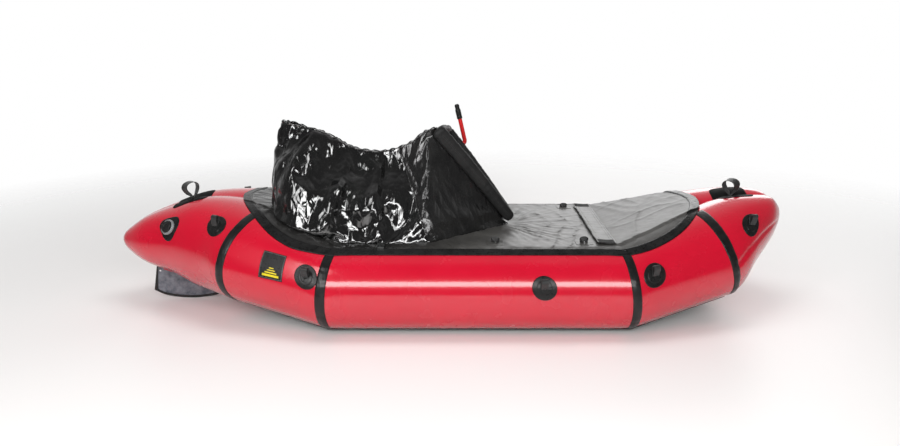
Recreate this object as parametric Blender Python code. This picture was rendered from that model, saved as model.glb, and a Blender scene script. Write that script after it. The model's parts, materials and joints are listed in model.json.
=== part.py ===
"""A one-person packraft: inflated hull, spray deck, hood, seat, fin and fittings.

+X points to the bow, -Y to starboard and +Z up. The origin is on the ground under the
middle of the boat. Lengths are metres, angles degrees.
"""
import math
from collections import namedtuple

import bpy
import bmesh
from mathutils import Matrix, Vector
from mathutils.bvhtree import BVHTree

# Overall hull
BOW_X = 1.250
STERN_X = -1.250
TUBE_RADIUS = 0.146
TUBE_APART = 0.310                # tube centreline off the boat's middle
SKIN = 0.0015                     # wall of an inflated panel

# Clearances and layers on the hull's skin
GAP = 0.0003                      # between pieces that touch
TAPE_LIFT = 0.0005
TAPE_THICK = 0.0006
SHEET_LIFT = 0.0013               # the floor lies over the seam tapes
SHEET_THICK = 0.0012
REST_GAP = 0.0006                 # least clearance of a sheet over what it is laid on
REST_REACH = 0.050                # how far a sheet is let down or raised to lie there
REST_STEPS = 4
PATCH_LIFT = 0.0007
PATCH_THICK = 0.0010
TUBE_Z = TUBE_RADIUS + SHEET_LIFT + SHEET_THICK

# Seams of the starboard hull, mirrored to port. A lean is how far a seam's outer edge, or its
# top, runs along X, as a share of its half width or half height.
STERN_BEND_X = -0.402
STERN_BEND_LEAN_SHARES = (-0.226, 0.060)
BOW_BEND_X = 0.604
BOW_BEND_LEAN_SHARES = (0.156, -0.098)
STERN_SEAM_X = -0.682
STERN_SEAM_OUT = 0.165
STERN_SEAM_Z = 0.226
STERN_SEAM_HALF_WIDTH = 0.177
STERN_SEAM_HALF_HEIGHT = 0.169
STERN_SEAM_LEAN_SHARES = (-0.680, 0.150)
BOW_SEAM_X = 0.940
BOW_SEAM_OUT = 0.156
BOW_SEAM_Z = 0.232
BOW_SEAM_HALF_WIDTH = 0.170
BOW_SEAM_HALF_HEIGHT = 0.153
BOW_SEAM_LEAN_SHARES = (0.300, -0.360)
STERN_TIP_Z = 0.241
BOW_TIP_Z = 0.332

Station = namedtuple("Station", "x out z half_width half_height out_lean top_lean")
STERN_BEND = Station(STERN_BEND_X, TUBE_APART, TUBE_Z, TUBE_RADIUS, TUBE_RADIUS, *STERN_BEND_LEAN_SHARES)
BOW_BEND = Station(BOW_BEND_X, TUBE_APART, TUBE_Z, TUBE_RADIUS, TUBE_RADIUS, *BOW_BEND_LEAN_SHARES)
STERN_SEAM = Station(STERN_SEAM_X, STERN_SEAM_OUT, STERN_SEAM_Z, STERN_SEAM_HALF_WIDTH,
                     STERN_SEAM_HALF_HEIGHT, *STERN_SEAM_LEAN_SHARES)
BOW_SEAM = Station(BOW_SEAM_X, BOW_SEAM_OUT, BOW_SEAM_Z, BOW_SEAM_HALF_WIDTH,
                   BOW_SEAM_HALF_HEIGHT, *BOW_SEAM_LEAN_SHARES)

# Sections between a seam and the tip, as shares of that seam: along, out, half width,
# half height, rise in half heights, out lean, and then a top lean.
STERN_CONE_SHARES = [
    (0.224, 0.515, 1.080, 1.059, 0.059, 0.50, 0.060),
    (0.448, 0.300, 0.943, 0.976, 0.112, 0.20, 0.020),
    (0.638, 0.180, 0.743, 0.751, 0.130, 0.05, 0.0),
    (0.828, 0.110, 0.500, 0.518, 0.098, 0.0, 0.0),
    (0.922, 0.060, 0.310, 0.320, 0.085, 0.0, 0.0),
    (0.979, 0.024, 0.152, 0.155, 0.085, 0.0, 0.0),
]
BOW_NOSE_SHARES = [
    (0.281, 0.606, 1.010, 1.078, 0.118, 0.74, -0.060),
    (0.510, 0.455, 0.800, 0.974, 0.275, 0.50, 0.120),
    (0.722, 0.300, 0.570, 0.784, 0.412, 0.30, 0.230),
    (0.869, 0.180, 0.360, 0.490, 0.523, 0.10, 0.200),
    (0.957, 0.073, 0.175, 0.242, 0.608, 0.0, 0.150),
]

# How finely the hull is faceted
AROUND = 24
HALF_AROUND = 14
QUARTER_RINGS = 3
MERGE = 1e-6
SHARP_ANGLE = 35.0

# Seam tapes
TAPE_WIDTH = 0.030
TAIL_TAPE_TOP = 58.0
NOSE_TAPE_TOP = 68.0
TAIL_TAPE_SIDES = 26

# Floor
FLOOR_WRAP = 62.0                 # the floor climbs the tube to this angle below level
FLOOR_ARC_STEPS = 4
FLOOR_END_GAP = 0.008             # between its ends and the seam tapes
FLOOR_SHARES = (0.33, 0.66, 1.0)

# Deck, from its stern edge to its bow edge in plan, off the middle
DECK_STERN_X = -0.754
DECK_BOW_X = 0.906
DECK_LAP_SHARE = 0.274            # how far over the tube's top it laps, in tube radii
DECK_HALF = TUBE_APART + TUBE_RADIUS * DECK_LAP_SHARE
DECK_EDGE_SHARES = [
    (0.000, 0.00), (0.006, 0.16), (0.019, 0.36), (0.043, 0.58), (0.080, 0.79), (0.125, 0.93),
    (0.170, 0.985), (0.2120, 1.00), (0.270, 1.00), (0.320, 1.00), (0.370, 1.00), (0.420, 1.00),
    (0.480, 1.00), (0.540, 1.00), (0.600, 1.00), (0.660, 1.00), (0.720, 1.00), (0.770, 1.00),
    (0.8181, 1.00), (0.860, 0.955), (0.905, 0.85), (0.940, 0.72), (0.965, 0.57), (0.983, 0.40),
    (0.995, 0.20), (1.000, 0.00),
]
DECK_WRAP_ROWS = 4
DECK_FLAT_ROWS = 2
DECK_BRIDGE = 0.020               # tight cloth stays up this far from a high place
EDGE_TAPE_WIDTH = 0.024

# Cockpit opening in the deck, as shares of its length and half width
COCKPIT_AFT_X = -0.640
COCKPIT_FORE_X = 0.190
COCKPIT_HALF = 0.272
COCKPIT_SHARES = [
    (0.000, 0.00), (0.000, 0.30), (0.020, 0.58), (0.075, 0.82), (0.160, 0.96), (0.250, 1.00),
    (0.340, 1.00), (0.430, 1.00), (0.520, 1.00), (0.600, 1.00), (0.670, 0.95), (0.760, 0.72),
    (0.860, 0.43), (0.950, 0.16), (1.000, 0.00),
]

# Hood: a padded V brace that stands on the deck, and the fabric sock behind it
BRACE_FOOT_X = 0.232
BRACE_TOP_X = -0.036
BRACE_TOP_OUT = 0.118
BRACE_TOP_Z = 0.664
BRACE_SLUMP_X = 0.030             # the soft hood leans: its port top is further forward
BRACE_SLUMP_Z = 0.036             # and lower than its starboard top
BRACE_RADIUS = 0.020
BRACE_END_SHARE = 0.62            # its rounded ends, as a share of its radius
BRACE_SIDES = 10
BRACE_RUNS = 9
SOCK_THICK = 0.0012
SOCK_FLARE = 0.010                # the sock's foot stands this far outside the opening
SOCK_BILLOW = 0.034
SOCK_FOLD = 0.009
SOCK_FOLDS = 13
SOCK_FOLD_LEAN = 2.0
SOCK_HUB_X = -0.150               # the folds fan out from about here
SOCK_HUB_SHARE = 0.6
SOCK_LOOSE_SHARE = 0.7            # the rest of its width is held taut by the brace
SOCK_ROWS = 7
SOCK_SIDE_COLUMNS = 24
SOCK_CORNER_COLUMNS = 4
SOCK_FRONT_COLUMNS = 2
SOCK_FRONT_GAP = 0.012            # the sock's front edge stands this far behind the brace
# Rim of the sock from the stern round to the front corner: along the opening, off the
# middle and up, as shares of the opening's length and half width and of the brace's height
RIM_SHARES = [
    (0.034, 0.000, 1.042), (0.041, 0.169, 1.045), (0.096, 0.287, 1.036),
    (0.229, 0.316, 0.994), (0.355, 0.301, 0.913), (0.482, 0.301, 0.895),
    (0.590, 0.346, 0.928), (0.663, 0.397, 0.979),
]
# Foot of the sock, beside each rim place, as shares of the opening
FOOT_SHARES = [
    (0.000, 0.00), (0.004, 0.42), (0.040, 0.80), (0.165, 1.00), (0.330, 1.00), (0.490, 1.00),
    (0.600, 1.00), (0.690, 0.96),
]

# Oral inflation tube on the port brace
ORAL_SHARE = 0.84
ORAL_RADIUS = 0.008
ORAL_ELBOW = 0.012
ORAL_LENGTH = 0.104
ORAL_LEAN = 0.024
MOUTH_RADIUS = 0.0105
MOUTH_BORE = 0.0088
MOUTH_LENGTH = 0.056
MOUTH_LAP = 0.014
ORAL_SIDES = 12

# Tie-down patches: station index and share along the hull, and the angle round the tube
TIE_RADIUS = 0.042
TIE_DISC_RADIUS = 0.026
TIE_DISC_THICK = 0.0022
TIE_DISC_EDGE = 1.04
TIE_SIDES = 16
TIE_PLACES = {
    "tail": ("tail", 0.160, 42.0),
    "aft": ("stern_quarter", 0.16, 24.0),
    "mid": ("side", 0.709, 16.5),
    "fore": ("bow_quarter", 0.20, 24.0),
    "nose": ("nose", 0.330, 36.0),
}
TIE_LOOP_WIDTH = 0.024
TIE_LOOP_HEIGHT = 0.038
TIE_LOOP_HALF = 0.0085            # radius of the loop's outer end
TIE_LOOP_BASE = 0.0026            # radius of its stitched end, round its hinge line
TIE_LOOP_TILT = 50.0              # the loops lean up from the hull's normal
TIE_LOOP_POINTS = 14
WEBBING_THICK = 0.0016

# Grab loops at the ends
GRAB_STERN_X = -0.968
GRAB_BOW_X = 1.062
GRAB_HEIGHT = 0.066
GRAB_HALF = 0.036
GRAB_BASE = 0.010
GRAB_WIDTH = 0.026
GRAB_THICK = 0.0022
GRAB_POINTS = 18
GRAB_PATCH_LENGTH = 0.130
GRAB_PATCH_HALF = 0.085
GRAB_PATCH_STEPS = 5

# Valve on the stern cone
VALVE_SHARE = 0.585
VALVE_ANGLE = 33.0
VALVE_PATCH_RADIUS = 0.046
VALVE_PATCH_LOBE = 0.12
VALVE_RADIUS = 0.029
VALVE_HEIGHT = 0.012
VALVE_RIM = 0.005
CAP_RADIUS = 0.0215
CAP_HEIGHT = 0.011
CAP_GRIPS = 6
CAP_GRIP_DEPTH = 0.0015
VALVE_SIDES = 24

# Fin and its track under the stern cone
FIN_FORE_X = -0.885
FIN_AFT_X = -1.150
TRACK_FORE_X = -0.900
TRACK_AFT_X = -1.105
TRACK_HALF = 0.012
TRACK_DROP = 0.020                # bottom of the track below the keel line
TRACK_SLOT_DEPTH = 0.012
TRACK_STEPS = 8
FIN_THICK = 0.006
FIN_PLAY = 0.0005
FIN_FOOT_Z = 0.003
FIN_HEEL_X = 0.018                # the aft top corner is this far ahead of the aft edge
FIN_HEEL_Z = 0.034
FIN_NOSE_RISE = 0.021
FIN_BELLY = 0.030
# Lower edge of the fin from aft to fore: along it, and up as shares of the belly
FIN_EDGE_SHARES = [(0.86, 0.45), (0.72, 0.16), (0.56, 0.02), (0.40, 0.0), (0.24, 0.14), (0.10, 0.36)]
FIN_HOLE_RADIUS = 0.004
FIN_HOLE_X = -1.122
FIN_HOLE_DROP = 0.026
FIN_HOLE_SIDES = 12

# Seat
SEAT_AFT_X = -0.398
SEAT_FORE_X = -0.063
SEAT_HALF = 0.148
SEAT_HEIGHT = 0.085
SEAT_CROWN = 0.010
SEAT_CHANNELS = 5
SEAT_CHANNEL_DEPTH = 0.008
BACK_THICK = 0.050
BACK_HALF = 0.120
BACK_HEIGHT = 0.235
BACK_CHANNEL_DEPTH = 0.007
BACK_CHANNELS = 4
PAD_WAIST = 0.06                  # how far a pad's sides draw in, as a share
PAD_END_WAIST = 0.02
PAD_EDGE_SHARE = 0.62             # height of its edge beside its middle
PAD_LONG_STEPS = 8
PAD_CHANNEL_STEPS = 4

# Deck fittings
FLAP_AFT_X = 0.512
FLAP_FORE_X = 0.578
FLAP_HALF = 0.306
FLAP_THICK = 0.0016
FLAP_TAB = 0.030
DECK_LOOP_AFT_X = 0.158
DECK_LOOP_FORE_X = 0.469
DECK_LOOP_OUT = 0.276
DECK_LOOP_HEIGHT = 0.016
DECK_LOOP_HALF = 0.010
DECK_LOOP_BASE = 0.008
DECK_LOOP_WIDTH = 0.018
DECK_LOOP_POINTS = 12
STRAP_X = -0.238
STRAP_WIDTH = 0.022
STRAP_THICK = 0.0016
STRAP_IN = 0.290
STRAP_OUT = 0.352
STRAP_STEPS = 6
BUCKLE_LENGTH = 0.030
BUCKLE_WIDTH = 0.028
BUCKLE_THICK = 0.005
BUCKLE_BAR = 0.004
BUCKLE_OUT = 0.316

# Label patch on the starboard stern quarter
LABEL_SHARE = 0.50
LABEL_ANGLE = 20.0
LABEL_LENGTH = 0.072
LABEL_HEIGHT = 0.084
LABEL_STEPS = 4
LABEL_TURN = 9.0


def clear_scene():
    for thing in list(bpy.data.objects):
        bpy.data.objects.remove(thing, do_unlink=True)


def material(name, colour, roughness, metallic=0.0):
    """Return a plain Principled material, made once for each name."""
    found = bpy.data.materials.get(name)
    if found:
        return found
    made = bpy.data.materials.new(name)
    made.use_nodes = True
    shader = made.node_tree.nodes["Principled BSDF"]
    shader.inputs["Base Color"].default_value = (*colour, 1.0)
    shader.inputs["Roughness"].default_value = roughness
    shader.inputs["Metallic"].default_value = metallic
    return made


RED = ("red_coated_fabric", (0.70, 0.02, 0.03), 0.35)
BLACK_TAPE = ("black_seam_tape", (0.03, 0.03, 0.03), 0.45)
DECK_CLOTH = ("grey_coated_deck_cloth", (0.06, 0.06, 0.065), 0.4)
SKIRT_CLOTH = ("black_glossy_cloth", (0.012, 0.012, 0.014), 0.2)
WEBBING = ("black_webbing", (0.02, 0.02, 0.02), 0.8)
RUBBER = ("black_patch_rubber", (0.03, 0.03, 0.032), 0.5)
PLASTIC = ("black_moulded_plastic", (0.015, 0.015, 0.015), 0.35)
CLEAR = ("grey_clear_plastic", (0.55, 0.57, 0.60), 0.25)
RED_TUBE = ("red_hose", (0.72, 0.03, 0.03), 0.4)
FIN_PLASTIC = ("dark_grey_fin", (0.06, 0.065, 0.075), 0.4)
SEAT_CLOTH = ("black_seat_cloth", (0.03, 0.03, 0.035), 0.7)


def add_object(name, points, faces, finish, origin=(0, 0, 0)):
    """Make one closed body with its faces pointing out and its origin at a joint's axis."""
    mesh = bpy.data.meshes.new(name)
    home = Vector(origin)
    mesh.from_pydata([Vector(p) - home for p in points], [], faces)
    work = bmesh.new()
    work.from_mesh(mesh)
    bmesh.ops.remove_doubles(work, verts=work.verts, dist=MERGE)
    loose = [v for v in work.verts if not v.link_faces]
    bmesh.ops.delete(work, geom=loose, context="VERTS")
    bmesh.ops.triangulate(work, faces=work.faces)
    bmesh.ops.recalc_face_normals(work, faces=work.faces)
    work.to_mesh(mesh)
    work.free()
    mesh.shade_smooth()
    mesh.set_sharp_from_angle(angle=math.radians(SHARP_ANGLE))
    mesh.materials.append(material(*finish))
    thing = bpy.data.objects.new(name, mesh)
    thing.location = home
    bpy.context.scene.collection.objects.link(thing)
    return thing


def grid_faces(rows, columns, closed=False):
    """Quads of a grid of points numbered row by row; closed joins its last column to its first."""
    faces = []
    for row in range(rows - 1):
        for column in range(columns if closed else columns - 1):
            after = (column + 1) % columns
            faces.append((row * columns + column, row * columns + after,
                          (row + 1) * columns + after, (row + 1) * columns + column))
    return faces


def wall(outer, inner, faces):
    """Join an outer and an inner surface with the same faces into one thin closed body."""
    count = len(outer)
    uses = {}
    for face in faces:
        for a, b in zip(face, face[1:] + face[:1]):
            if a != b:
                uses.setdefault(frozenset((a, b)), []).append((a, b))
    solid = list(faces)
    solid += [tuple(count + i for i in reversed(face)) for face in faces]
    for pair in uses.values():
        if len(pair) == 1:
            a, b = pair[0]
            solid.append((b, a, count + a, count + b))
    return list(outer) + list(inner), solid


def add_wall(name, outer, inner, faces, finish, origin=(0, 0, 0)):
    points, solid = wall(outer, inner, faces)
    return add_object(name, points, solid, finish, origin)


class Ground:
    """Finished pieces that others are laid on, as one surface."""

    def __init__(self, *things):
        points = []
        faces = []
        for thing in things:
            start = len(points)
            points += [v.co + thing.location for v in thing.data.vertices]
            faces += [tuple(start + i for i in p.vertices) for p in thing.data.polygons]
        self.tree = BVHTree.FromPolygons(points, faces)

    def height(self, x, y):
        """Height of the upper side under a point of the plan."""
        hit = self.tree.ray_cast(Vector((x, y, 2.0 * BRACE_TOP_Z)), Vector((0.0, 0.0, -1.0)))[0]
        return hit.z if hit else top_at(x)[1] + SHEET_LIFT + SHEET_THICK

    def underside(self, x, y):
        """Height of the lower side above a point of the plan."""
        return self.tree.ray_cast(Vector((x, y, 0.0)), Vector((0.0, 0.0, 1.0)))[0].z

    def lay(self, thing, down):
        """Move a piece along down until it just clears the surface, and return that move."""
        gaps = []
        for face in thing.data.polygons:
            a, b, c = [thing.data.vertices[i].co + thing.location for i in face.vertices]
            for i in range(REST_STEPS + 1):
                for j in range(REST_STEPS + 1 - i):
                    place = a + (b - a) * (i / REST_STEPS) + (c - a) * (j / REST_STEPS)
                    hit = self.tree.ray_cast(place - down * REST_REACH, down, 2 * REST_REACH)[0]
                    if hit:
                        gaps.append((hit - place).dot(down))
        move = down * (min(gaps) - REST_GAP)
        thing.location += move
        return move


DOWN = Vector((0.0, 0.0, -1.0))


def blend(first, second, share):
    return Station(*(a + (b - a) * share for a, b in zip(first, second)))


def end_stations(seam, tip_x, tip_z, shares):
    """Stations of a stern cone or a bow nose, from its seam to just short of its tip."""
    made = [seam]
    for along, out, width, height, rise, out_lean, top_lean in shares:
        made.append(Station(
            seam.x + (tip_x - seam.x) * along, seam.out * out,
            seam.z + seam.half_height * rise,
            seam.half_width * width, seam.half_height * height,
            seam.out_lean * out_lean, top_lean))
    made.append(Station(tip_x, 0.0, tip_z, 0.0, 0.0, 0.0, 0.0))
    return made


CHAINS = {
    "tail": end_stations(STERN_SEAM, STERN_X, STERN_TIP_Z, STERN_CONE_SHARES),
    "stern_quarter": [STERN_BEND, STERN_SEAM],
    "side": [STERN_BEND, BOW_BEND],
    "bow_quarter": [BOW_BEND, BOW_SEAM],
    "nose": end_stations(BOW_SEAM, BOW_X, BOW_TIP_Z, BOW_NOSE_SHARES),
}


def station_at(chain, share):
    """Section of one hull panel, at a share of its length along X from its first seam."""
    stations = CHAINS[chain]
    x = stations[0].x + (stations[-1].x - stations[0].x) * share
    for first, second in zip(stations, stations[1:]):
        span = (x - first.x) / (second.x - first.x)
        if span <= 1.0 + 1e-9:
            return blend(first, second, span)
    return stations[-1]


def ring_point(station, angle, grow=0.0):
    """Point round a section: 0 degrees is outboard, 90 the top; out is positive."""
    width = station.half_width + grow
    height = station.half_height + grow
    across = math.cos(math.radians(angle))
    upward = math.sin(math.radians(angle))
    return Vector((station.x + station.out_lean * width * across + station.top_lean * height * upward,
                   station.out + width * across,
                   station.z + height * upward))


def hull_normal(chain, share, angle):
    """Outward unit normal of a panel; out is positive."""
    turn = 0.5
    nudge = 0.002
    low = station_at(chain, max(share - nudge, 0.0))
    high = station_at(chain, min(share + nudge, 1.0 - nudge))
    here = station_at(chain, share)
    along = ring_point(high, angle) - ring_point(low, angle)
    around = ring_point(here, angle + turn) - ring_point(here, angle - turn)
    normal = along.cross(around).normalized()
    outward = ring_point(here, angle) - Vector((here.x, here.out, here.z))
    return -normal if normal.dot(outward) < 0.0 else normal


def hull_point(chain, share, angle, lift=0.0):
    """Point on a panel's outside, off its skin by a lift along the normal; out is positive."""
    place = ring_point(station_at(chain, share), angle)
    return place + hull_normal(chain, share, angle) * lift


def on_side(point, side):
    """Turn a point with out positive into the frame: starboard is -1, port +1."""
    return Vector((point.x, point.y * side, point.z))


def crossing(station):
    """Angle at which a section meets the boat's middle, above its centre."""
    return math.degrees(math.acos(max(-1.0, -station.out / station.half_width)))


SIDES = {"starboard": -1, "port": 1}


def add_tube_panel(name, chain, side, rings):
    """One inflated panel: a thin skin open at both ends, flat where it meets its twin."""
    outer = []
    inner = []
    for step in range(rings + 1):
        station = blend(*CHAINS[chain], step / rings)
        for i in range(AROUND):
            angle = 360.0 * i / AROUND
            for points, grow, keep in ((outer, 0.0, GAP), (inner, -SKIN, GAP + SKIN)):
                place = ring_point(station, angle, grow)
                place.y = max(place.y, keep)
                points.append(on_side(place, side))
    faces = grid_faces(rings + 1, AROUND, closed=True)
    return add_wall(name, outer, inner, faces, RED)


def middle_ring(station, grow):
    """Outline of both halves of a section at once, from the top middle round to it again."""
    shifted = station._replace(half_width=station.half_width + grow,
                               half_height=station.half_height + grow)
    top = crossing(shifted)
    half = [ring_point(shifted, top - 2.0 * top * i / HALF_AROUND) for i in range(HALF_AROUND + 1)]
    for end in (half[0], half[-1]):
        end.y = 0.0
    starboard = [on_side(p, -1) for p in half]
    port = [on_side(p, 1) for p in half[1:-1]]
    return starboard + port[::-1]


def add_end_panel(name, chain):
    """The stern cone or the bow nose: one skin, open where the quarters join it."""
    stations = CHAINS[chain]
    outer = []
    inner = []
    for station in stations[:-1]:
        outer += middle_ring(station, 0.0)
        inner += middle_ring(station, -SKIN)
    count = 2 * HALF_AROUND
    faces = grid_faces(len(stations) - 1, count, closed=True)
    tip = stations[-1]
    last = len(outer) - count
    outer.append(Vector((tip.x, 0.0, tip.z)))
    inner.append(Vector((tip.x - math.copysign(SKIN, tip.x), 0.0, tip.z)))
    for i in range(count):
        faces.append((last + i, last + (i + 1) % count, len(outer) - 1))
    return add_wall(name, outer, inner, faces, RED)


def add_hull():
    made = [add_end_panel("stern_cone", "tail"), add_end_panel("bow_nose", "nose")]
    for word, side in SIDES.items():
        made.append(add_tube_panel(f"side_tube_{word}", "side", side, 1))
        made.append(add_tube_panel(f"stern_quarter_{word}", "stern_quarter", side, QUARTER_RINGS))
        made.append(add_tube_panel(f"bow_quarter_{word}", "bow_quarter", side, QUARTER_RINGS))
    return made


def span_share(chain, length):
    """Share of a panel that a length along X takes."""
    stations = CHAINS[chain]
    return length / abs(stations[-1].x - stations[0].x)


def add_ring_tape(name, rows, side):
    """Seam tape all round a tube, half on each of the two panels that meet at the seam."""
    outer = []
    inner = []
    for station in rows:
        for i in range(AROUND):
            angle = 360.0 * i / AROUND
            outer.append(on_side(ring_point(station, angle, TAPE_LIFT + TAPE_THICK), side))
            inner.append(on_side(ring_point(station, angle, TAPE_LIFT), side))
    return add_wall(name, outer, inner, grid_faces(len(rows), AROUND, closed=True), BLACK_TAPE)


def add_end_tape(name, quarter, chain, top):
    """Seam tape between the quarters and an end panel, from deck to deck under the hull."""
    half = TAPE_WIDTH / 2
    rows = [(quarter, 1.0 - span_share(quarter, half)), (chain, 0.0), (chain, span_share(chain, half))]
    outer = []
    inner = []
    for where, share in rows:
        station = station_at(where, share)
        bottom = -crossing(station)
        half_outer = []
        half_inner = []
        for i in range(TAIL_TAPE_SIDES + 1):
            angle = top + (bottom - top) * i / TAIL_TAPE_SIDES
            for points, grow in ((half_outer, PATCH_LIFT + TAPE_THICK), (half_inner, PATCH_LIFT)):
                points.append(ring_point(station, angle, grow))
        for points, half_points in ((outer, half_outer), (inner, half_inner)):
            half_points[-1].y = 0.0
            points += [on_side(p, -1) for p in half_points]
            points += [on_side(p, 1) for p in half_points[-2::-1]]
    columns = 2 * TAIL_TAPE_SIDES + 1
    return add_wall(name, outer, inner, grid_faces(len(rows), columns), BLACK_TAPE)


def add_seam_tapes():
    half = TAPE_WIDTH / 2
    stern_rows = [station_at("stern_quarter", span_share("stern_quarter", half)), STERN_BEND,
                  station_at("side", span_share("side", half))]
    bow_rows = [station_at("side", 1.0 - span_share("side", half)), BOW_BEND,
                station_at("bow_quarter", span_share("bow_quarter", half))]
    made = [add_end_tape("seam_tape_tail", "stern_quarter", "tail", TAIL_TAPE_TOP),
            add_end_tape("seam_tape_nose", "bow_quarter", "nose", NOSE_TAPE_TOP)]
    for word, side in SIDES.items():
        made.append(add_ring_tape(f"seam_tape_stern_{word}", stern_rows, side))
        made.append(add_ring_tape(f"seam_tape_bow_{word}", bow_rows, side))
    return made


def add_floor():
    """Floor sheet, flat between the tubes and wrapped a little way up each of them."""
    half_tape = TAPE_WIDTH / 2 + FLOOR_END_GAP
    stern_end = 1.0 - span_share("stern_quarter", half_tape)
    bow_end = 1.0 - span_share("bow_quarter", half_tape)
    rows = [("stern_quarter", stern_end * share) for share in FLOOR_SHARES[::-1] + (0.0,)]
    rows += [("side", share) for share in FLOOR_SHARES]
    rows += [("bow_quarter", bow_end * share) for share in FLOOR_SHARES]
    outer = []
    inner = []
    for where, share in rows:
        station = station_at(where, share)
        angles = [-FLOOR_WRAP - (90.0 - FLOOR_WRAP) * i / FLOOR_ARC_STEPS
                  for i in range(FLOOR_ARC_STEPS + 1)]
        for points, grow in ((outer, SHEET_LIFT + SHEET_THICK), (inner, SHEET_LIFT)):
            half = [ring_point(station, angle, grow) for angle in angles]
            points += [on_side(p, -1) for p in half]
            points += [on_side(p, 1) for p in reversed(half)]
    columns = 2 * (FLOOR_ARC_STEPS + 1)
    add_wall("floor_sheet", outer, inner, grid_faces(len(rows), columns), DECK_CLOTH)


def top_line():
    """Highest line of the starboard hull, as (x, out, z) from stern to bow."""
    stations = CHAINS["tail"][-2::-1] + [STERN_BEND, BOW_BEND] + CHAINS["nose"][:-1]
    return [ring_point(station, 90.0) for station in stations]


TOP_LINE = top_line()


def top_at(x):
    """Out and height of the hull's highest line at X."""
    for first, second in zip(TOP_LINE, TOP_LINE[1:]):
        if x <= second.x:
            share = (x - first.x) / (second.x - first.x)
            return first.y + (second.y - first.y) * share, first.z + (second.z - first.z) * share
    return TOP_LINE[-1].y, TOP_LINE[-1].z


def surface_z(x, out):
    """Height of the hull's upper side under a point of the plan, outboard of its top line."""
    for chain in ("side", "stern_quarter", "bow_quarter", "tail", "nose"):
        low, high = 0.0, 0.995
        ends = []
        for share in (low, high):
            ends.append(reach_x(station_at(chain, share), out) - x)
        if ends[0] * ends[1] > 0.0:
            continue
        for _ in range(40):
            middle = (low + high) / 2
            value = reach_x(station_at(chain, middle), out) - x
            if value * ends[0] > 0.0:
                low = middle
            else:
                high = middle
        station = station_at(chain, (low + high) / 2)
        return ring_point(station, reach_angle(station, out)).z
    return top_at(x)[1]


def reach_angle(station, out):
    """Angle on a section's upper side at a distance off the middle."""
    share = (out - station.out) / max(station.half_width, 1e-6)
    return math.degrees(math.acos(max(-1.0, min(1.0, share))))


def reach_x(station, out):
    return ring_point(station, reach_angle(station, out)).x


def deck_height(x, out):
    """Height of the deck's underside: level between the tubes' tops, then down their backs."""
    skin_z = surface_z(x, out)
    if out > top_at(x)[0]:
        return skin_z
    return max(skin_z, *(top_at(x + step * DECK_BRIDGE)[1] for step in (-1, 0, 1)))


def along_places(places, count):
    """Points along a smooth curve through the places."""
    made = []
    segments = len(places) - 1
    for i in range(count):
        spot = segments * i / (count - 1)
        k = min(int(spot), segments - 1)
        t = spot - k
        p1, p2 = places[k], places[k + 1]
        p0 = places[k - 1] if k else p1 + (p1 - p2)
        p3 = places[k + 2] if k + 2 < len(places) else p2 + (p2 - p1)
        made.append(0.5 * ((2 * p1) + (p2 - p0) * t + (2 * p0 - 5 * p1 + 4 * p2 - p3) * t * t
                           + (3 * p1 - p0 - 3 * p2 + p3) * t * t * t))
    return made


def deck_edge(grow=0.0):
    """Plan of the deck's edge on one side, stern to bow, let out by grow."""
    length = DECK_BOW_X - DECK_STERN_X
    plan = [Vector((DECK_STERN_X + length * along, DECK_HALF * off)) for along, off in DECK_EDGE_SHARES]
    made = []
    for i, here in enumerate(plan):
        before = plan[i - 1] if i else Vector((plan[1].x, -plan[1].y))
        after = plan[i + 1] if i + 1 < len(plan) else Vector((plan[-2].x, -plan[-2].y))
        run = (after - before).normalized()
        made.append(here + Vector((-run.y, run.x)) * grow)
    return made


def cockpit_edge():
    """Plan of the cockpit opening on one side, stern to bow."""
    length = COCKPIT_FORE_X - COCKPIT_AFT_X
    return [Vector((COCKPIT_AFT_X + length * along, COCKPIT_HALF * off)) for along, off in COCKPIT_SHARES]


def deck_inner_line(edge):
    """Inner end of each deck column: the middle of the boat, or the cockpit's edge."""
    opening = cockpit_edge()
    aft = [p for p in edge if p.x < opening[0].x][:3]
    first = len(aft)
    last = first + len(opening) - 1
    made = []
    for i, place in enumerate(edge):
        if i < first:
            share = i / first
            made.append(Vector((edge[0].x + (opening[0].x - edge[0].x) * share, 0.0)))
        elif i <= last:
            made.append(opening[i - first])
        else:
            share = (i - last) / (len(edge) - 1 - last)
            made.append(Vector((opening[-1].x + (edge[-1].x - opening[-1].x) * share, 0.0)))
    return made


def deck_column(edge, inner_end):
    """Plan points of one deck column from its edge over the tube's top to its inner end."""
    top_out = top_at(edge.x)[0]
    if edge.y <= top_out or inner_end.y >= top_out:
        steps = DECK_WRAP_ROWS + DECK_FLAT_ROWS
        return [edge.lerp(inner_end, j / steps) for j in range(steps + 1)]
    share = (edge.y - top_out) / (edge.y - inner_end.y)
    crest = edge.lerp(inner_end, share)
    column = [edge.lerp(crest, j / DECK_WRAP_ROWS) for j in range(DECK_WRAP_ROWS)]
    return column + [crest.lerp(inner_end, j / DECK_FLAT_ROWS) for j in range(DECK_FLAT_ROWS + 1)]


def add_deck(hull):
    edge = deck_edge()
    inner_line = deck_inner_line(edge)
    rows = DECK_WRAP_ROWS + DECK_FLAT_ROWS + 1
    outer = []
    inner = []
    faces = []
    for side in SIDES.values():
        start = len(outer)
        for place, end in zip(edge, inner_line):
            for p in deck_column(place, end):
                z = deck_height(p.x, p.y) + SHEET_LIFT
                inner.append(Vector((p.x, p.y * side, z)))
                outer.append(Vector((p.x, p.y * side, z + SHEET_THICK)))
        faces += [tuple(start + i for i in face) for face in grid_faces(len(edge), rows)]
    outer, inner, faces = weld(outer, inner, faces)
    deck = add_wall("deck", outer, inner, faces, DECK_CLOTH)
    hull.lay(deck, DOWN)
    return deck


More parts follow.
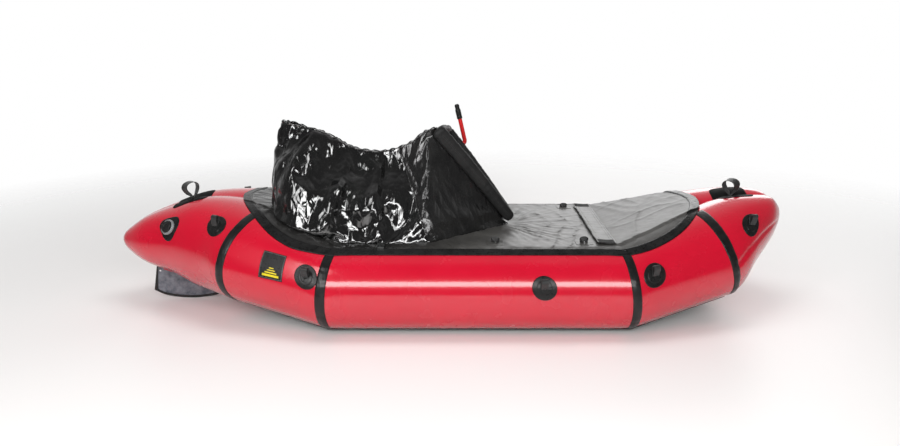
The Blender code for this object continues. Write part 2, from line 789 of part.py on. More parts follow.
def weld(outer, inner, faces):
    """Merge points that coincide, so that both halves of a sheet share their middle."""
    kept = {}
    order = []
    renumber = []
    for i, point in enumerate(outer):
        key = tuple(round(value, 6) + 0.0 for value in point)
        if key not in kept:
            kept[key] = len(order)
            order.append(i)
        renumber.append(kept[key])
    tidy = []
    for face in faces:
        ring = []
        for i in face:
            if renumber[i] not in ring:
                ring.append(renumber[i])
        if len(ring) > 2:
            tidy.append(tuple(ring))
    return [outer[i] for i in order], [inner[i] for i in order], tidy


def add_deck_edge_tape(hull):
    """Black tape round the deck, on the hull just outside the deck's edge."""
    rows = [deck_edge(GAP), deck_edge(GAP + EDGE_TAPE_WIDTH / 2), deck_edge(GAP + EDGE_TAPE_WIDTH)]
    count = len(rows[0])
    outer = []
    inner = []
    for row in rows:
        loop = [(p, -1) for p in row] + [(p, 1) for p in row[-2:0:-1]]
        for p, side in loop:
            z = deck_height(p.x, p.y) + SHEET_LIFT
            inner.append(Vector((p.x, p.y * side, z)))
            outer.append(Vector((p.x, p.y * side, z + SHEET_THICK)))
    faces = grid_faces(len(rows), 2 * count - 2, closed=True)
    hull.lay(add_wall("deck_edge_tape", outer, inner, faces, BLACK_TAPE), DOWN)


def brace_ends(deck, side):
    foot_z = deck.height(BRACE_FOOT_X, 0.0) + GAP + BRACE_RADIUS
    foot = Vector((BRACE_FOOT_X, 0.0, foot_z))
    slump = (1 + side) / 2
    return foot, Vector((BRACE_TOP_X + slump * BRACE_SLUMP_X, BRACE_TOP_OUT * side,
                         BRACE_TOP_Z - slump * BRACE_SLUMP_Z))


def tube_along(path, radii, sides):
    """Points and faces of a capped round tube along a path, on frames that don't twist."""
    points = []
    side_axis = None
    for i, here in enumerate(path):
        before = path[max(i - 1, 0)]
        after = path[min(i + 1, len(path) - 1)]
        run = (after - before).normalized()
        if side_axis is None:
            side_axis = run.orthogonal().normalized()
        side_axis = (side_axis - run * side_axis.dot(run)).normalized()
        up_axis = run.cross(side_axis)
        for k in range(sides):
            turn = 2 * math.pi * k / sides
            points.append(here + (side_axis * math.cos(turn) + up_axis * math.sin(turn)) * radii[i])
    faces = grid_faces(len(path), sides, closed=True)
    faces.append(tuple(range(sides)))
    faces.append(tuple(range(len(points) - sides, len(points))))
    return points, faces


def add_brace(deck):
    """The padded V: two straight legs that meet in a round foot on the deck."""
    foot, starboard = brace_ends(deck, -1)
    port = brace_ends(deck, 1)[1]
    path = [starboard.lerp(foot, i / BRACE_RUNS) for i in range(BRACE_RUNS)]
    path.append(foot)
    path += [foot.lerp(port, (i + 1) / BRACE_RUNS) for i in range(BRACE_RUNS)]
    ends = [BRACE_END_SHARE] + [1.0] * (len(path) - 2) + [BRACE_END_SHARE]
    points, faces = tube_along(path, [BRACE_RADIUS * share for share in ends], BRACE_SIDES)
    add_object("hood_brace", points, faces, SKIRT_CLOTH)


def opening_place(along, off, z=0.0):
    """Place at shares of the cockpit opening's length and half width."""
    length = COCKPIT_FORE_X - COCKPIT_AFT_X
    return Vector((COCKPIT_AFT_X + length * along, COCKPIT_HALF * off, z))


def sock_lines(deck):
    """Foot and rim of the sock on one side, from the stern to the middle of its front."""
    foot = [opening_place(along, off) + Vector((along - 0.5, off, 0.0)).normalized() * SOCK_FLARE
            for along, off in FOOT_SHARES]
    foot[0].y = 0.0
    rim = [opening_place(along, off, BRACE_TOP_Z * up) for along, off, up in RIM_SHARES]
    feet = along_places(foot, SOCK_SIDE_COLUMNS)
    rims = along_places(rim, SOCK_SIDE_COLUMNS)
    brace_foot, brace_top = brace_ends(deck, 1)
    back = BRACE_RADIUS + SOCK_FRONT_GAP
    corner_rim = brace_top + Vector((-back, -back / 2, -BRACE_RADIUS))
    corner_foot = Vector((brace_foot.x - back, SOCK_FRONT_GAP / 4, 0.0))
    middle_rim = Vector((corner_rim.x + SOCK_FRONT_GAP / 2, 0.0, corner_rim.z - SOCK_FRONT_GAP / 2))
    middle_foot = Vector((corner_foot.x + SOCK_FRONT_GAP / 4, 0.0, 0.0))
    for foot_end, rim_end, columns in ((corner_foot, corner_rim, SOCK_CORNER_COLUMNS),
                                       (middle_foot, middle_rim, SOCK_FRONT_COLUMNS)):
        last_foot, last_rim = feet[-1], rims[-1]
        for i in range(1, columns + 1):
            feet.append(last_foot.lerp(foot_end, i / columns))
            rims.append(last_rim.lerp(rim_end, i / columns))
    return feet, rims


def sock_point(deck, foot, rim, share, along):
    """Point of the sock, billowed and folded between its foot and its rim."""
    base = Vector((foot.x, foot.y, deck.height(foot.x, foot.y) + GAP))
    point = base.lerp(rim, share)
    swell = 4.0 * share * (1.0 - share)
    loose = max(0.0, 1.0 - along / SOCK_LOOSE_SHARE) ** 0.5
    hub_x = rim.x * SOCK_HUB_SHARE + SOCK_HUB_X
    out = Vector((point.x - hub_x, point.y, 0.0)).normalized()
    fold = math.sin(math.pi * SOCK_FOLDS * along + SOCK_FOLD_LEAN * share)
    return point + out * loose * swell * (SOCK_BILLOW + SOCK_FOLD * fold)


def add_sock(deck):
    """The skirt tunnel: cloth that stands on the deck round the opening and narrows to a rim."""
    feet, rims = sock_lines(deck)
    count = len(feet)
    loop = [(i, -1) for i in range(count)] + [(i, 1) for i in range(count - 2, 0, -1)]
    outer = []
    for row in range(SOCK_ROWS):
        share = row / (SOCK_ROWS - 1)
        for i, side in loop:
            outer.append(on_side(sock_point(deck, feet[i], rims[i], share, i / count), side))
    columns = len(loop)
    inner = []
    for row in range(SOCK_ROWS):
        for column in range(columns):
            here = outer[row * columns + column]
            left = outer[row * columns + (column - 1) % columns]
            right = outer[row * columns + (column + 1) % columns]
            run = (right - left).normalized()
            inward = Vector((-run.y, run.x, 0.0))
            inner.append(here + inward.normalized() * SOCK_THICK)
    faces = grid_faces(SOCK_ROWS, columns, closed=True)
    deck.lay(add_wall("skirt_tunnel", outer, inner, faces, SKIRT_CLOTH), DOWN)


def oral_places(deck):
    """Where the inflation tube leaves the port brace, its elbow and its upper end."""
    foot, top = brace_ends(deck, 1)
    run = (top - foot).normalized()
    forward = Vector((1.0, 0.0, 0.0))
    out = (forward - run * forward.dot(run)).normalized()
    start = foot.lerp(top, ORAL_SHARE) + out * (BRACE_RADIUS + GAP)
    elbow = start + out * ORAL_ELBOW
    end = elbow + Vector((-ORAL_LEAN, 0.0, ORAL_LENGTH))
    return start, elbow, end


def add_oral_tube(deck):
    start, elbow, end = oral_places(deck)
    rise = (end - elbow).normalized()
    bend = [start, start.lerp(elbow, 0.45), start.lerp(elbow, 0.8) + rise * ORAL_RADIUS * 0.2,
            elbow + rise * ORAL_RADIUS * 0.9, elbow + rise * ORAL_RADIUS * 2.0, end]
    points, faces = tube_along(bend, [ORAL_RADIUS] * len(bend), ORAL_SIDES)
    add_object("oral_tube", points, faces, RED_TUBE, origin=start)
    frame = frame_of(end - rise * MOUTH_LAP, rise)
    profile = [(MOUTH_BORE, 0.0), (MOUTH_RADIUS, 0.0), (MOUTH_RADIUS, MOUTH_LENGTH * 0.6),
               (MOUTH_RADIUS * 0.8, MOUTH_LENGTH * 0.7), (MOUTH_RADIUS * 0.86, MOUTH_LENGTH * 0.92),
               (MOUTH_RADIUS * 0.6, MOUTH_LENGTH), (0.0, MOUTH_LENGTH), (0.0, MOUTH_LAP + 0.3 * MOUTH_LAP),
               (MOUTH_BORE, MOUTH_LAP + 0.3 * MOUTH_LAP)]
    add_turned("oral_mouthpiece", profile, frame, ORAL_SIDES, PLASTIC)


def frame_of(origin, axis, hint=Vector((0.0, 1.0, 0.0))):
    """Matrix that takes +Z to the axis at the origin and +Y near the hint."""
    up = axis.normalized()
    forward = (hint - up * hint.dot(up)).normalized()
    right = forward.cross(up)
    turn = Matrix((right, forward, up)).transposed()
    return Matrix.Translation(origin) @ turn.to_4x4()


def add_turned(name, profile, frame, sides, finish, radius_at=None):
    """Spin a closed profile of (radius, height) about the frame's Z; axis points are shared."""
    points = []
    rows = []
    for radius, height in profile:
        if radius == 0.0:
            rows.append([len(points)] * sides)
            points.append(frame @ Vector((0.0, 0.0, height)))
            continue
        rows.append(list(range(len(points), len(points) + sides)))
        for k in range(sides):
            turn = 2 * math.pi * k / sides
            far = radius_at(radius, turn) if radius_at else radius
            points.append(frame @ Vector((far * math.cos(turn), far * math.sin(turn), height)))
    faces = []
    for first, second in zip(rows, rows[1:] + rows[:1]):
        for k in range(sides):
            ring = []
            for i in (first[k], first[(k + 1) % sides], second[(k + 1) % sides], second[k]):
                if i not in ring:
                    ring.append(i)
            if len(ring) > 2:
                faces.append(tuple(ring))
    return add_object(name, points, faces, finish, origin=frame.translation)


def patch_frame(chain, share, angle):
    """Scale of a panel's surface round a place: metres for each share and each degree."""
    step = 0.004
    here = hull_point(chain, share, angle)
    along = (hull_point(chain, share + step, angle) - here) / step
    around = (hull_point(chain, share, angle + 1.0) - here)
    return along, around


def spot_on(chain, share, angle, forward, upward, lift):
    """Point on a panel, offset from a place by lengths forward and up round the tube."""
    along, around = patch_frame(chain, share, angle)
    sign = math.copysign(1.0, along.x)
    return hull_point(chain, share + sign * forward / along.length,
                      angle + upward / around.length, lift)


def add_disc_patch(name, hull, place, side, radius, disc=None, outline=None):
    """Round patch laid on the hull, with a thicker disc in its middle if asked.

    Returns the move that laid it there.
    """
    rings = [(0.0, PATCH_THICK), (0.5, PATCH_THICK), (1.0, PATCH_THICK)]
    if disc:
        share = disc / radius
        rings = [(0.0, TIE_DISC_THICK), (share, TIE_DISC_THICK), (share * TIE_DISC_EDGE, PATCH_THICK),
                 (1.0, PATCH_THICK)]
    outer = []
    inner = []
    faces = []
    for ring, (step, height) in enumerate(rings):
        for k in range(TIE_SIDES if ring else 1):
            turn = 2 * math.pi * k / TIE_SIDES
            reach = radius * step * (outline(turn) if outline else 1.0)
            forward, upward = reach * math.cos(turn), reach * math.sin(turn)
            outer.append(on_side(spot_on(*place, forward, upward, PATCH_LIFT + height), side))
            inner.append(on_side(spot_on(*place, forward, upward, PATCH_LIFT), side))
    for k in range(TIE_SIDES):
        after = (k + 1) % TIE_SIDES
        faces.append((0, 1 + k, 1 + after))
        for ring in range(1, len(rings) - 1):
            low, high = 1 + (ring - 1) * TIE_SIDES, 1 + ring * TIE_SIDES
            faces.append((low + k, high + k, high + after, low + after))
    return hull.lay(add_wall(name, outer, inner, faces, RUBBER), -on_side(hull_normal(*place), side))


def arch_path(height, half, base, thick, count):
    """Middle line of a wide webbing loop, as (across, outward) from its flat base."""
    path = []
    for i in range(count):
        turn = 2 * math.pi * i / count
        reach = base + (half - base) * ((1.0 - math.cos(turn)) / 2) ** 0.8
        path.append((reach * math.sin(turn), thick / 2 + (height - thick) * (1.0 - math.cos(turn)) / 2))
    return path


def drop_path(height, half, base, count):
    """Middle line of a slim webbing loop: a small round stitched end and a wider far end."""
    lean = math.degrees(math.asin((half - base) / (height - half - base)))
    narrow = count // 2
    path = []
    for i in range(narrow):
        turn = math.radians(180.0 + lean + (180.0 - 2.0 * lean) * i / (narrow - 1))
        path.append((base * math.cos(turn), base + base * math.sin(turn)))
    for i in range(count - narrow):
        turn = math.radians(-lean + (180.0 + 2.0 * lean) * i / (count - narrow - 1))
        path.append((half * math.cos(turn), height - half + half * math.sin(turn)))
    return path


def add_band(name, home, across, outward, path, thick, width, pivot):
    """Webbing loop: a strip bent along a path that stands outward from its home."""
    flat = across.cross(outward).normalized()
    middle = [across * aside + outward * up for aside, up in path]
    count = len(middle)
    points = []
    for i, here in enumerate(middle):
        run = (middle[(i + 1) % count] - middle[i - 1]).normalized()
        off = run.cross(flat) * thick / 2
        for shift in (off + flat * width / 2, off - flat * width / 2,
                      -off - flat * width / 2, -off + flat * width / 2):
            points.append(home + here + shift)
    add_object(name, points, grid_faces(count, 4, closed=True) + [
        (4 * (count - 1) + k, 4 * (count - 1) + (k + 1) % 4, (k + 1) % 4, k) for k in range(4)],
        WEBBING, origin=home + outward * pivot)


def tie_axes(place, side):
    """Hinge point, and the leaning loop's across and outward directions, of a tie-down."""
    normal = on_side(hull_normal(*place), side)
    around = on_side(patch_frame(*place)[1], side)
    upward = (around - normal * around.dot(normal)).normalized()
    tilt = math.radians(TIE_LOOP_TILT)
    outward = normal * math.cos(tilt) + upward * math.sin(tilt)
    across = upward * math.cos(tilt) - normal * math.sin(tilt)
    stand = PATCH_LIFT + TIE_DISC_THICK + GAP + WEBBING_THICK / 2 + TIE_LOOP_BASE
    return on_side(hull_point(*place, stand), side), across, outward


def add_tie_downs(hull):
    path = drop_path(TIE_LOOP_HEIGHT, TIE_LOOP_HALF, TIE_LOOP_BASE, TIE_LOOP_POINTS)
    for word, side in SIDES.items():
        for spot, place in TIE_PLACES.items():
            move = add_disc_patch(f"tie_patch_{spot}_{word}", hull, place, side, TIE_RADIUS, TIE_DISC_RADIUS)
            hinge, across, outward = tie_axes(place, side)
            add_band(f"tie_loop_{spot}_{word}", hinge + move - outward * TIE_LOOP_BASE, across, outward,
                     path, WEBBING_THICK, TIE_LOOP_WIDTH, TIE_LOOP_BASE)


def add_grab_loop(hull, word, x):
    """Webbing grab loop on a black patch that straddles the ridge of an end panel."""
    steps = GRAB_PATCH_STEPS
    outer = []
    inner = []
    for i in range(steps + 1):
        along = x + GRAB_PATCH_LENGTH * (i / steps - 0.5)
        for j in range(-steps, steps + 1):
            out = abs(j) / steps * GRAB_PATCH_HALF
            z = surface_z(along, out) + PATCH_LIFT
            y = math.copysign(out, j) if j else 0.0
            inner.append(Vector((along, y, z)))
            outer.append(Vector((along, y, z + PATCH_THICK)))
    faces = grid_faces(steps + 1, 2 * steps + 1)
    patch = add_wall(f"grab_patch_{word}", outer, inner, faces, RUBBER)
    hull.lay(patch, DOWN)
    ground = Ground(patch)
    highest = max(ground.height(x, GRAB_WIDTH * s / 2) for s in (-1, 0, 1))
    slope = (ground.height(x + GRAB_BASE, 0.0) - ground.height(x - GRAB_BASE, 0.0)) / (2 * GRAB_BASE)
    outward = Vector((-slope, 0.0, 1.0)).normalized()
    across = Vector((outward.z, 0.0, -outward.x))
    base = Vector((x, 0.0, highest + GAP))
    path = arch_path(GRAB_HEIGHT, GRAB_HALF, GRAB_BASE, GRAB_THICK, GRAB_POINTS)
    add_band(f"grab_loop_{word}", base, across, outward, path, GRAB_THICK, GRAB_WIDTH, GRAB_BASE / 3)


def add_valve(hull):
    """Inflation valve on a rounded three-cornered patch, with a cap that unscrews."""
    place = ("tail", VALVE_SHARE, VALVE_ANGLE)
    move = add_disc_patch("valve_patch", hull, place, -1, VALVE_PATCH_RADIUS, outline=lambda turn:
                          1.0 + VALVE_PATCH_LOBE * math.cos(3 * turn - math.pi / 2))
    base = on_side(hull_point(*place, PATCH_LIFT + PATCH_THICK + GAP), -1) + move
    outward = on_side(hull_normal(*place), -1)
    frame = frame_of(base, outward, Vector((0.0, 0.0, 1.0)))
    bore = CAP_RADIUS + GAP * 2
    seat = VALVE_HEIGHT * 0.35
    body = [(0.0, 0.0), (VALVE_RADIUS, 0.0), (VALVE_RADIUS, VALVE_HEIGHT * 0.4),
            (VALVE_RADIUS - VALVE_RIM * 0.5, VALVE_HEIGHT * 0.8), (bore + VALVE_RIM * 0.2, VALVE_HEIGHT * 0.8),
            (bore, VALVE_HEIGHT * 0.7), (bore, seat), (0.0, seat)]
    add_turned("valve_body", body, frame, VALVE_SIDES, CLEAR)
    lifted = frame @ Matrix.Translation((0.0, 0.0, seat + GAP))
    cap = [(0.0, 0.0), (CAP_RADIUS, 0.0), (CAP_RADIUS, CAP_HEIGHT * 0.85), (CAP_RADIUS * 0.9, CAP_HEIGHT),
           (CAP_RADIUS * 0.6, CAP_HEIGHT), (CAP_RADIUS * 0.5, CAP_HEIGHT * 0.75), (0.0, CAP_HEIGHT * 0.75)]
    add_turned("valve_cap", cap, lifted, VALVE_SIDES, PLASTIC,
               lambda radius, turn: radius - CAP_GRIP_DEPTH * (0.5 - 0.5 * math.cos(CAP_GRIPS * turn)))


def keel_z(x):
    """Lowest height of the stern cone's skin near the middle at X."""
    low, high = 0.0, 0.999
    for _ in range(40):
        middle = (low + high) / 2
        if station_at("tail", middle).x > x:
            low = middle
        else:
            high = middle
    station = station_at("tail", low)
    return station.z - station.half_height


def track_line(x):
    """Height of the straight line that the fin slides along, under the keel."""
    fore, aft = keel_z(TRACK_FORE_X), keel_z(TRACK_AFT_X)
    share = (x - TRACK_FORE_X) / (TRACK_AFT_X - TRACK_FORE_X)
    return fore + (aft - fore) * share - TRACK_DROP


def add_fin_base(hull):
    """The slotted track glued under the stern cone that holds the fin."""
    slot = FIN_THICK / 2 + FIN_PLAY
    points = []
    for i in range(TRACK_STEPS + 1):
        x = TRACK_FORE_X + (TRACK_AFT_X - TRACK_FORE_X) * i / TRACK_STEPS
        low = track_line(x)
        roof = low + TRACK_SLOT_DEPTH
        top = min(hull.underside(x, y) for y in (-TRACK_HALF, 0.0, TRACK_HALF)) - REST_GAP
        for y, z in ((-TRACK_HALF, low), (-slot, low), (-slot, roof), (slot, roof), (slot, low),
                     (TRACK_HALF, low), (TRACK_HALF, top), (-TRACK_HALF, top)):
            points.append(Vector((x, y, z)))
    faces = grid_faces(TRACK_STEPS + 1, 8, closed=True)
    for start in (0, TRACK_STEPS * 8):
        ring = [start + k for k in range(8)]
        faces.append((ring[0], ring[1], ring[2], ring[7]))
        faces.append((ring[2], ring[3], ring[6], ring[7]))
        faces.append((ring[3], ring[4], ring[5], ring[6]))
    return hull.lay(add_object("fin_base", points, faces, RED), -DOWN)


def add_fin(move):
    """Slide-in fin with a lanyard hole in its aft top corner, moved with its track."""
    roof = TRACK_SLOT_DEPTH - FIN_PLAY
    heel_x = FIN_AFT_X + FIN_HEEL_X
    outline = [Vector((FIN_FORE_X, track_line(FIN_FORE_X) + roof)),
               Vector((heel_x, track_line(heel_x) + roof)), Vector((FIN_AFT_X, FIN_HEEL_Z))]
    for share, rise in FIN_EDGE_SHARES:
        outline.append(Vector((FIN_FORE_X + (FIN_AFT_X - FIN_FORE_X) * share, FIN_FOOT_Z + FIN_BELLY * rise)))
    outline.append(Vector((FIN_FORE_X, FIN_FOOT_Z + FIN_NOSE_RISE)))
    points = [Vector((p.x, y, p.y)) for y in (-FIN_THICK / 2, FIN_THICK / 2) for p in outline]
    count = len(outline)
    faces = grid_faces(2, count, closed=True) + [tuple(range(count)), tuple(range(2 * count - 1, count - 1, -1))]
    fin = add_object("fin", points, faces, FIN_PLASTIC)
    hole = Vector((FIN_HOLE_X, 0.0, track_line(FIN_HOLE_X) + roof - FIN_HOLE_DROP))
    sides = FIN_HOLE_SIDES
    points = []
    for y in (-FIN_THICK, FIN_THICK):
        for k in range(sides):
            turn = 2 * math.pi * k / sides
            points.append(hole + Vector((math.cos(turn) * FIN_HOLE_RADIUS, y,
                                         math.sin(turn) * FIN_HOLE_RADIUS)))
    faces = grid_faces(2, sides, closed=True) + [tuple(range(sides)), tuple(range(2 * sides - 1, sides - 1, -1))]
    cutter = add_object("fin_hole_cutter", points, faces, FIN_PLASTIC)
    fin.location += move
    cutter.location += move
    cutter.hide_render = True
    cutter.display_type = "WIRE"
    cut = fin.modifiers.new("lanyard_hole", "BOOLEAN")
    cut.operation = "DIFFERENCE"
    cut.solver = "EXACT"
    cut.object = cutter


def add_pad(name, frame, length, half, height, crown, channels, depth, origin=(0, 0, 0)):
    """Closed channelled pad: crowned on its upper side, flat below, drawn in at its sides."""
    across_steps = channels * PAD_CHANNEL_STEPS
    upper = []
    lower = []
    for i in range(PAD_LONG_STEPS + 1):
        u = i / PAD_LONG_STEPS
        for j in range(across_steps + 1):
            v = j / across_steps
            inside = 0 < i < PAD_LONG_STEPS and 0 < j < across_steps
            waist = PAD_WAIST * math.sin(math.pi * v) if 0 < i < PAD_LONG_STEPS else PAD_END_WAIST
            rise = height * PAD_EDGE_SHARE
            if inside:
                rise = (height + crown * math.sin(math.pi * u)
                        - depth * (0.5 + 0.5 * math.cos(2 * math.pi * channels * v)))
            place = (length * u, half * (2 * v - 1) * (1.0 - waist))
            upper.append(frame @ Vector((*place, rise)))
            lower.append(frame @ Vector((*place, 0.0)))
    faces = grid_faces(PAD_LONG_STEPS + 1, across_steps + 1)
    return add_wall(name, upper, lower, faces, SEAT_CLOTH, origin)


def add_seat():
    """Seat cushion on the floor between the tubes, and a backrest that stands on it."""
    floor_top = SHEET_THICK + GAP
    frame = Matrix.Translation((SEAT_AFT_X, 0.0, floor_top))
    cushion = add_pad("seat_cushion", frame, SEAT_FORE_X - SEAT_AFT_X, SEAT_HALF,
                      SEAT_HEIGHT - SEAT_CROWN, SEAT_CROWN, SEAT_CHANNELS, SEAT_CHANNEL_DEPTH)
    foot = floor_top + SEAT_HEIGHT + GAP
    hinge = Vector((SEAT_AFT_X + BACK_THICK, 0.0, foot))
    turn = Matrix(((0, 0, 1), (0, 1, 0), (1, 0, 0))).to_4x4()
    frame = Matrix.Translation((SEAT_AFT_X, 0.0, foot)) @ turn
    back = add_pad("seat_backrest", frame, BACK_HEIGHT, BACK_HALF, BACK_THICK, 0.0, BACK_CHANNELS,
                   BACK_CHANNEL_DEPTH, hinge)
    Ground(cushion).lay(back, DOWN)


def add_flap(deck):
    """Cloth flap across the fore deck, with a thicker tab at each end."""
    places = [FLAP_AFT_X + (FLAP_FORE_X - FLAP_AFT_X) * i / 4 for i in range(5)]
    base = max(deck.height(x, FLAP_HALF * j / 4) for x in places for j in range(-4, 5)) + GAP
    outs = [-FLAP_HALF, -FLAP_HALF + FLAP_TAB, FLAP_HALF - FLAP_TAB, FLAP_HALF]
    points = []
    for x in (FLAP_AFT_X, FLAP_FORE_X):
        for y in outs:
            points.append(Vector((x, y, base)))
    upper = [p + Vector((0.0, 0.0, FLAP_THICK)) for p in points]
    add_wall("deck_flap", upper, points, grid_faces(2, len(outs)), DECK_CLOTH,
             origin=(FLAP_FORE_X, 0.0, base))


def add_deck_loops(deck):
    for word, side in SIDES.items():
        for number, x in enumerate((DECK_LOOP_AFT_X, DECK_LOOP_FORE_X), start=1):
            y = DECK_LOOP_OUT * side
            base = Vector((x, y, max(deck.height(x + s * DECK_LOOP_WIDTH / 2, y + t * DECK_LOOP_HALF)
                                     for s in (-1, 0, 1) for t in (-1, 0, 1)) + GAP))
            path = arch_path(DECK_LOOP_HEIGHT, DECK_LOOP_HALF, DECK_LOOP_BASE, WEBBING_THICK, DECK_LOOP_POINTS)
            add_band(f"deck_loop_{number}_{word}", base, Vector((1.0, 0.0, 0.0)), Vector((0.0, 0.0, 1.0)),
                     path, WEBBING_THICK, DECK_LOOP_WIDTH, 0.0)


def add_buckle(deck):
    """Short webbing strap on the starboard side deck, with a ladder-lock buckle over it."""
    upper = []
    lower = []
    for i in range(STRAP_STEPS + 1):
        out = STRAP_IN + (STRAP_OUT - STRAP_IN) * i / STRAP_STEPS
        z = max(deck.height(STRAP_X + s * STRAP_WIDTH / 2, -out) for s in (-1, 0, 1)) + 2 * GAP
        for s in (-1, 1):
            lower.append(Vector((STRAP_X + s * STRAP_WIDTH / 2, -out, z)))
            upper.append(Vector((STRAP_X + s * STRAP_WIDTH / 2, -out, z + STRAP_THICK)))
    strap = add_wall("buckle_strap", upper, lower, grid_faces(STRAP_STEPS + 1, 2), WEBBING)
    ground = Ground(strap)
    half = BUCKLE_LENGTH / 2
    base = max(ground.height(STRAP_X, -BUCKLE_OUT + half * k / 2) for k in range(-2, 3)) + GAP
    bar = BUCKLE_BAR
    across = (-BUCKLE_WIDTH / 2, bar - BUCKLE_WIDTH / 2, BUCKLE_WIDTH / 2 - bar, BUCKLE_WIDTH / 2)
    along = (-half, bar - half, -bar / 2, bar / 2, half - bar, half)
    low = [Vector((STRAP_X + x, y - BUCKLE_OUT, base)) for y in along for x in across]
    high = [p + Vector((0.0, 0.0, BUCKLE_THICK)) for p in low]
    slots = [(row, 1) for row in (1, 3)]
    faces = [face for k, face in enumerate(grid_faces(len(along), len(across)))
             if divmod(k, len(across) - 1) not in slots]
    add_wall("strap_buckle", high, low, faces, PLASTIC, origin=(STRAP_X, -BUCKLE_OUT - half, base))


def add_label(hull):
    """Bare black label patch on the starboard stern quarter."""
    place = ("stern_quarter", LABEL_SHARE, LABEL_ANGLE)
    turn = math.radians(LABEL_TURN)
    outer = []
    inner = []
    for i in range(LABEL_STEPS + 1):
        for j in range(LABEL_STEPS + 1):
            u = LABEL_LENGTH * (i / LABEL_STEPS - 0.5)
            v = LABEL_HEIGHT * (j / LABEL_STEPS - 0.5)
            forward = u * math.cos(turn) - v * math.sin(turn)
            upward = u * math.sin(turn) + v * math.cos(turn)
            for points, lift in ((inner, PATCH_LIFT), (outer, PATCH_LIFT + PATCH_THICK)):
                points.append(on_side(spot_on(*place, forward, upward, lift), -1))
    faces = grid_faces(LABEL_STEPS + 1, LABEL_STEPS + 1)
    hull.lay(add_wall("label_patch", outer, inner, faces, RUBBER), -on_side(hull_normal(*place), -1))


def main():
    clear_scene()
    panels = add_hull()
    skin = Ground(*panels)
    hull = Ground(*panels, *add_seam_tapes())
    add_floor()
    deck = Ground(add_deck(hull))
    add_deck_edge_tape(hull)
    add_brace(deck)
    add_sock(deck)
    add_oral_tube(deck)
    add_tie_downs(hull)
    add_grab_loop(hull, "stern", GRAB_STERN_X)
    add_grab_loop(hull, "bow", GRAB_BOW_X)
    add_valve(hull)
    add_fin(add_fin_base(skin))
    add_seat()
    add_flap(deck)
    add_deck_loops(deck)
    add_buckle(deck)
    add_label(hull)


main()
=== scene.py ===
# %% [markdown]
# # A packraft with a spray deck, dressed for a studio picture
# A packraft is a small inflatable boat. Its hull is a ring of coated fabric panels glued
# together under black tapes, with a cloth deck over it and a tall cloth tunnel for the paddler.
# The engineering model is loaded as a fixed frame, and every visible surface is then made
# again in finer detail at the same place, so that each joint of the frame still works.

import json
import math
from collections import namedtuple

import bmesh
import bpy
import numpy as np
from mathutils import Matrix, Vector
from mathutils.bvhtree import BVHTree


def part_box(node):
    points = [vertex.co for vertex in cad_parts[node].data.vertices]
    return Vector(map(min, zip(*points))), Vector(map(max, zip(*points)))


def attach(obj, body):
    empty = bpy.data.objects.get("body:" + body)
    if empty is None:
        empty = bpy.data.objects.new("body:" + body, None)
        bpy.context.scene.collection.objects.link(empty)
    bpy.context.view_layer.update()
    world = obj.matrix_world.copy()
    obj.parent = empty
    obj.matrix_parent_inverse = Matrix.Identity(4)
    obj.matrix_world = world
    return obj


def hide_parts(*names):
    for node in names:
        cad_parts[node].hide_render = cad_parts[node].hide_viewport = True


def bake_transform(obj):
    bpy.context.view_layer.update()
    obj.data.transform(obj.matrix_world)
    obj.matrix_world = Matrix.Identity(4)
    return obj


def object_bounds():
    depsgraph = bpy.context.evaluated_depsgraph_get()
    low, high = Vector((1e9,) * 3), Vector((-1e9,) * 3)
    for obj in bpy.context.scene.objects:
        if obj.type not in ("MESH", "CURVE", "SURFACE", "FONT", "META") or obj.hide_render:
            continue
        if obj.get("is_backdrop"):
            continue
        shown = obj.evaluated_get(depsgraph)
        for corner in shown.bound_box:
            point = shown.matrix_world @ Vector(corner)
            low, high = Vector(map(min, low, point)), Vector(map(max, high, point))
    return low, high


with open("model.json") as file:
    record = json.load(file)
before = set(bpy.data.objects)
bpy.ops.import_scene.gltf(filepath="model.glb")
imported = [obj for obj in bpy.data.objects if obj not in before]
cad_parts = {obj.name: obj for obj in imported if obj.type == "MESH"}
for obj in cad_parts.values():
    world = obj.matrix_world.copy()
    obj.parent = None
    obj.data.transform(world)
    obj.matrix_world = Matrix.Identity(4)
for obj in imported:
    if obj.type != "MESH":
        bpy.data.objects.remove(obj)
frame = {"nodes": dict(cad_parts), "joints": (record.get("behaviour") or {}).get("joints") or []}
cad_box = [list(corner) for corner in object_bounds()]
scene = bpy.context.scene
scene.view_settings.view_transform = "Standard"

# %% [markdown]
# ## The camera
# The picture was taken from the starboard side, a little above the deck and about three
# metres away. A real lens and distance give the same perspective as the picture, which a
# long lens from far away would flatten.

# %% Camera
CAMERA_BACK = 3.1
CAMERA_HEIGHT = 1.085
CAMERA_PITCH = 14.2
LENS = 33.5

eye = bpy.data.cameras.new("studio_camera")
eye.lens = LENS
eye.sensor_width = 36.0
camera = bpy.data.objects.new("studio_camera", eye)
camera.location = (0.0, -CAMERA_BACK, CAMERA_HEIGHT)
camera.rotation_euler = (math.radians(90.0 - CAMERA_PITCH), 0.0, 0.0)
scene.collection.objects.link(camera)
scene.camera = camera
print("camera:", LENS, "mm lens,", CAMERA_BACK, "m away")

# %% [markdown]
# ## Wiring a finish
# A finish is a small network of nodes that ends in one shader. Short helpers add a node,
# make a colour ramp, do arithmetic, start and wire a material, and give bumps, a weave and
# soft noise. Numbers that are the same all over a surface are set on the shader's own socket.

# %% Helpers for finishes
def add(tree, kind, **values):
    """Add a node; a value goes to the input socket or the setting of that name."""
    made = tree.nodes.new(kind)
    for key, value in values.items():
        words = key.replace("_", " ")
        socket = next((s for s in made.inputs if s.name.lower() == words and s.enabled), None)
        if socket is not None and not hasattr(made, key):
            if isinstance(value, bpy.types.NodeSocket):
                tree.links.new(value, socket)
            else:
                socket.default_value = value
        else:
            setattr(made, key, value)
    return made


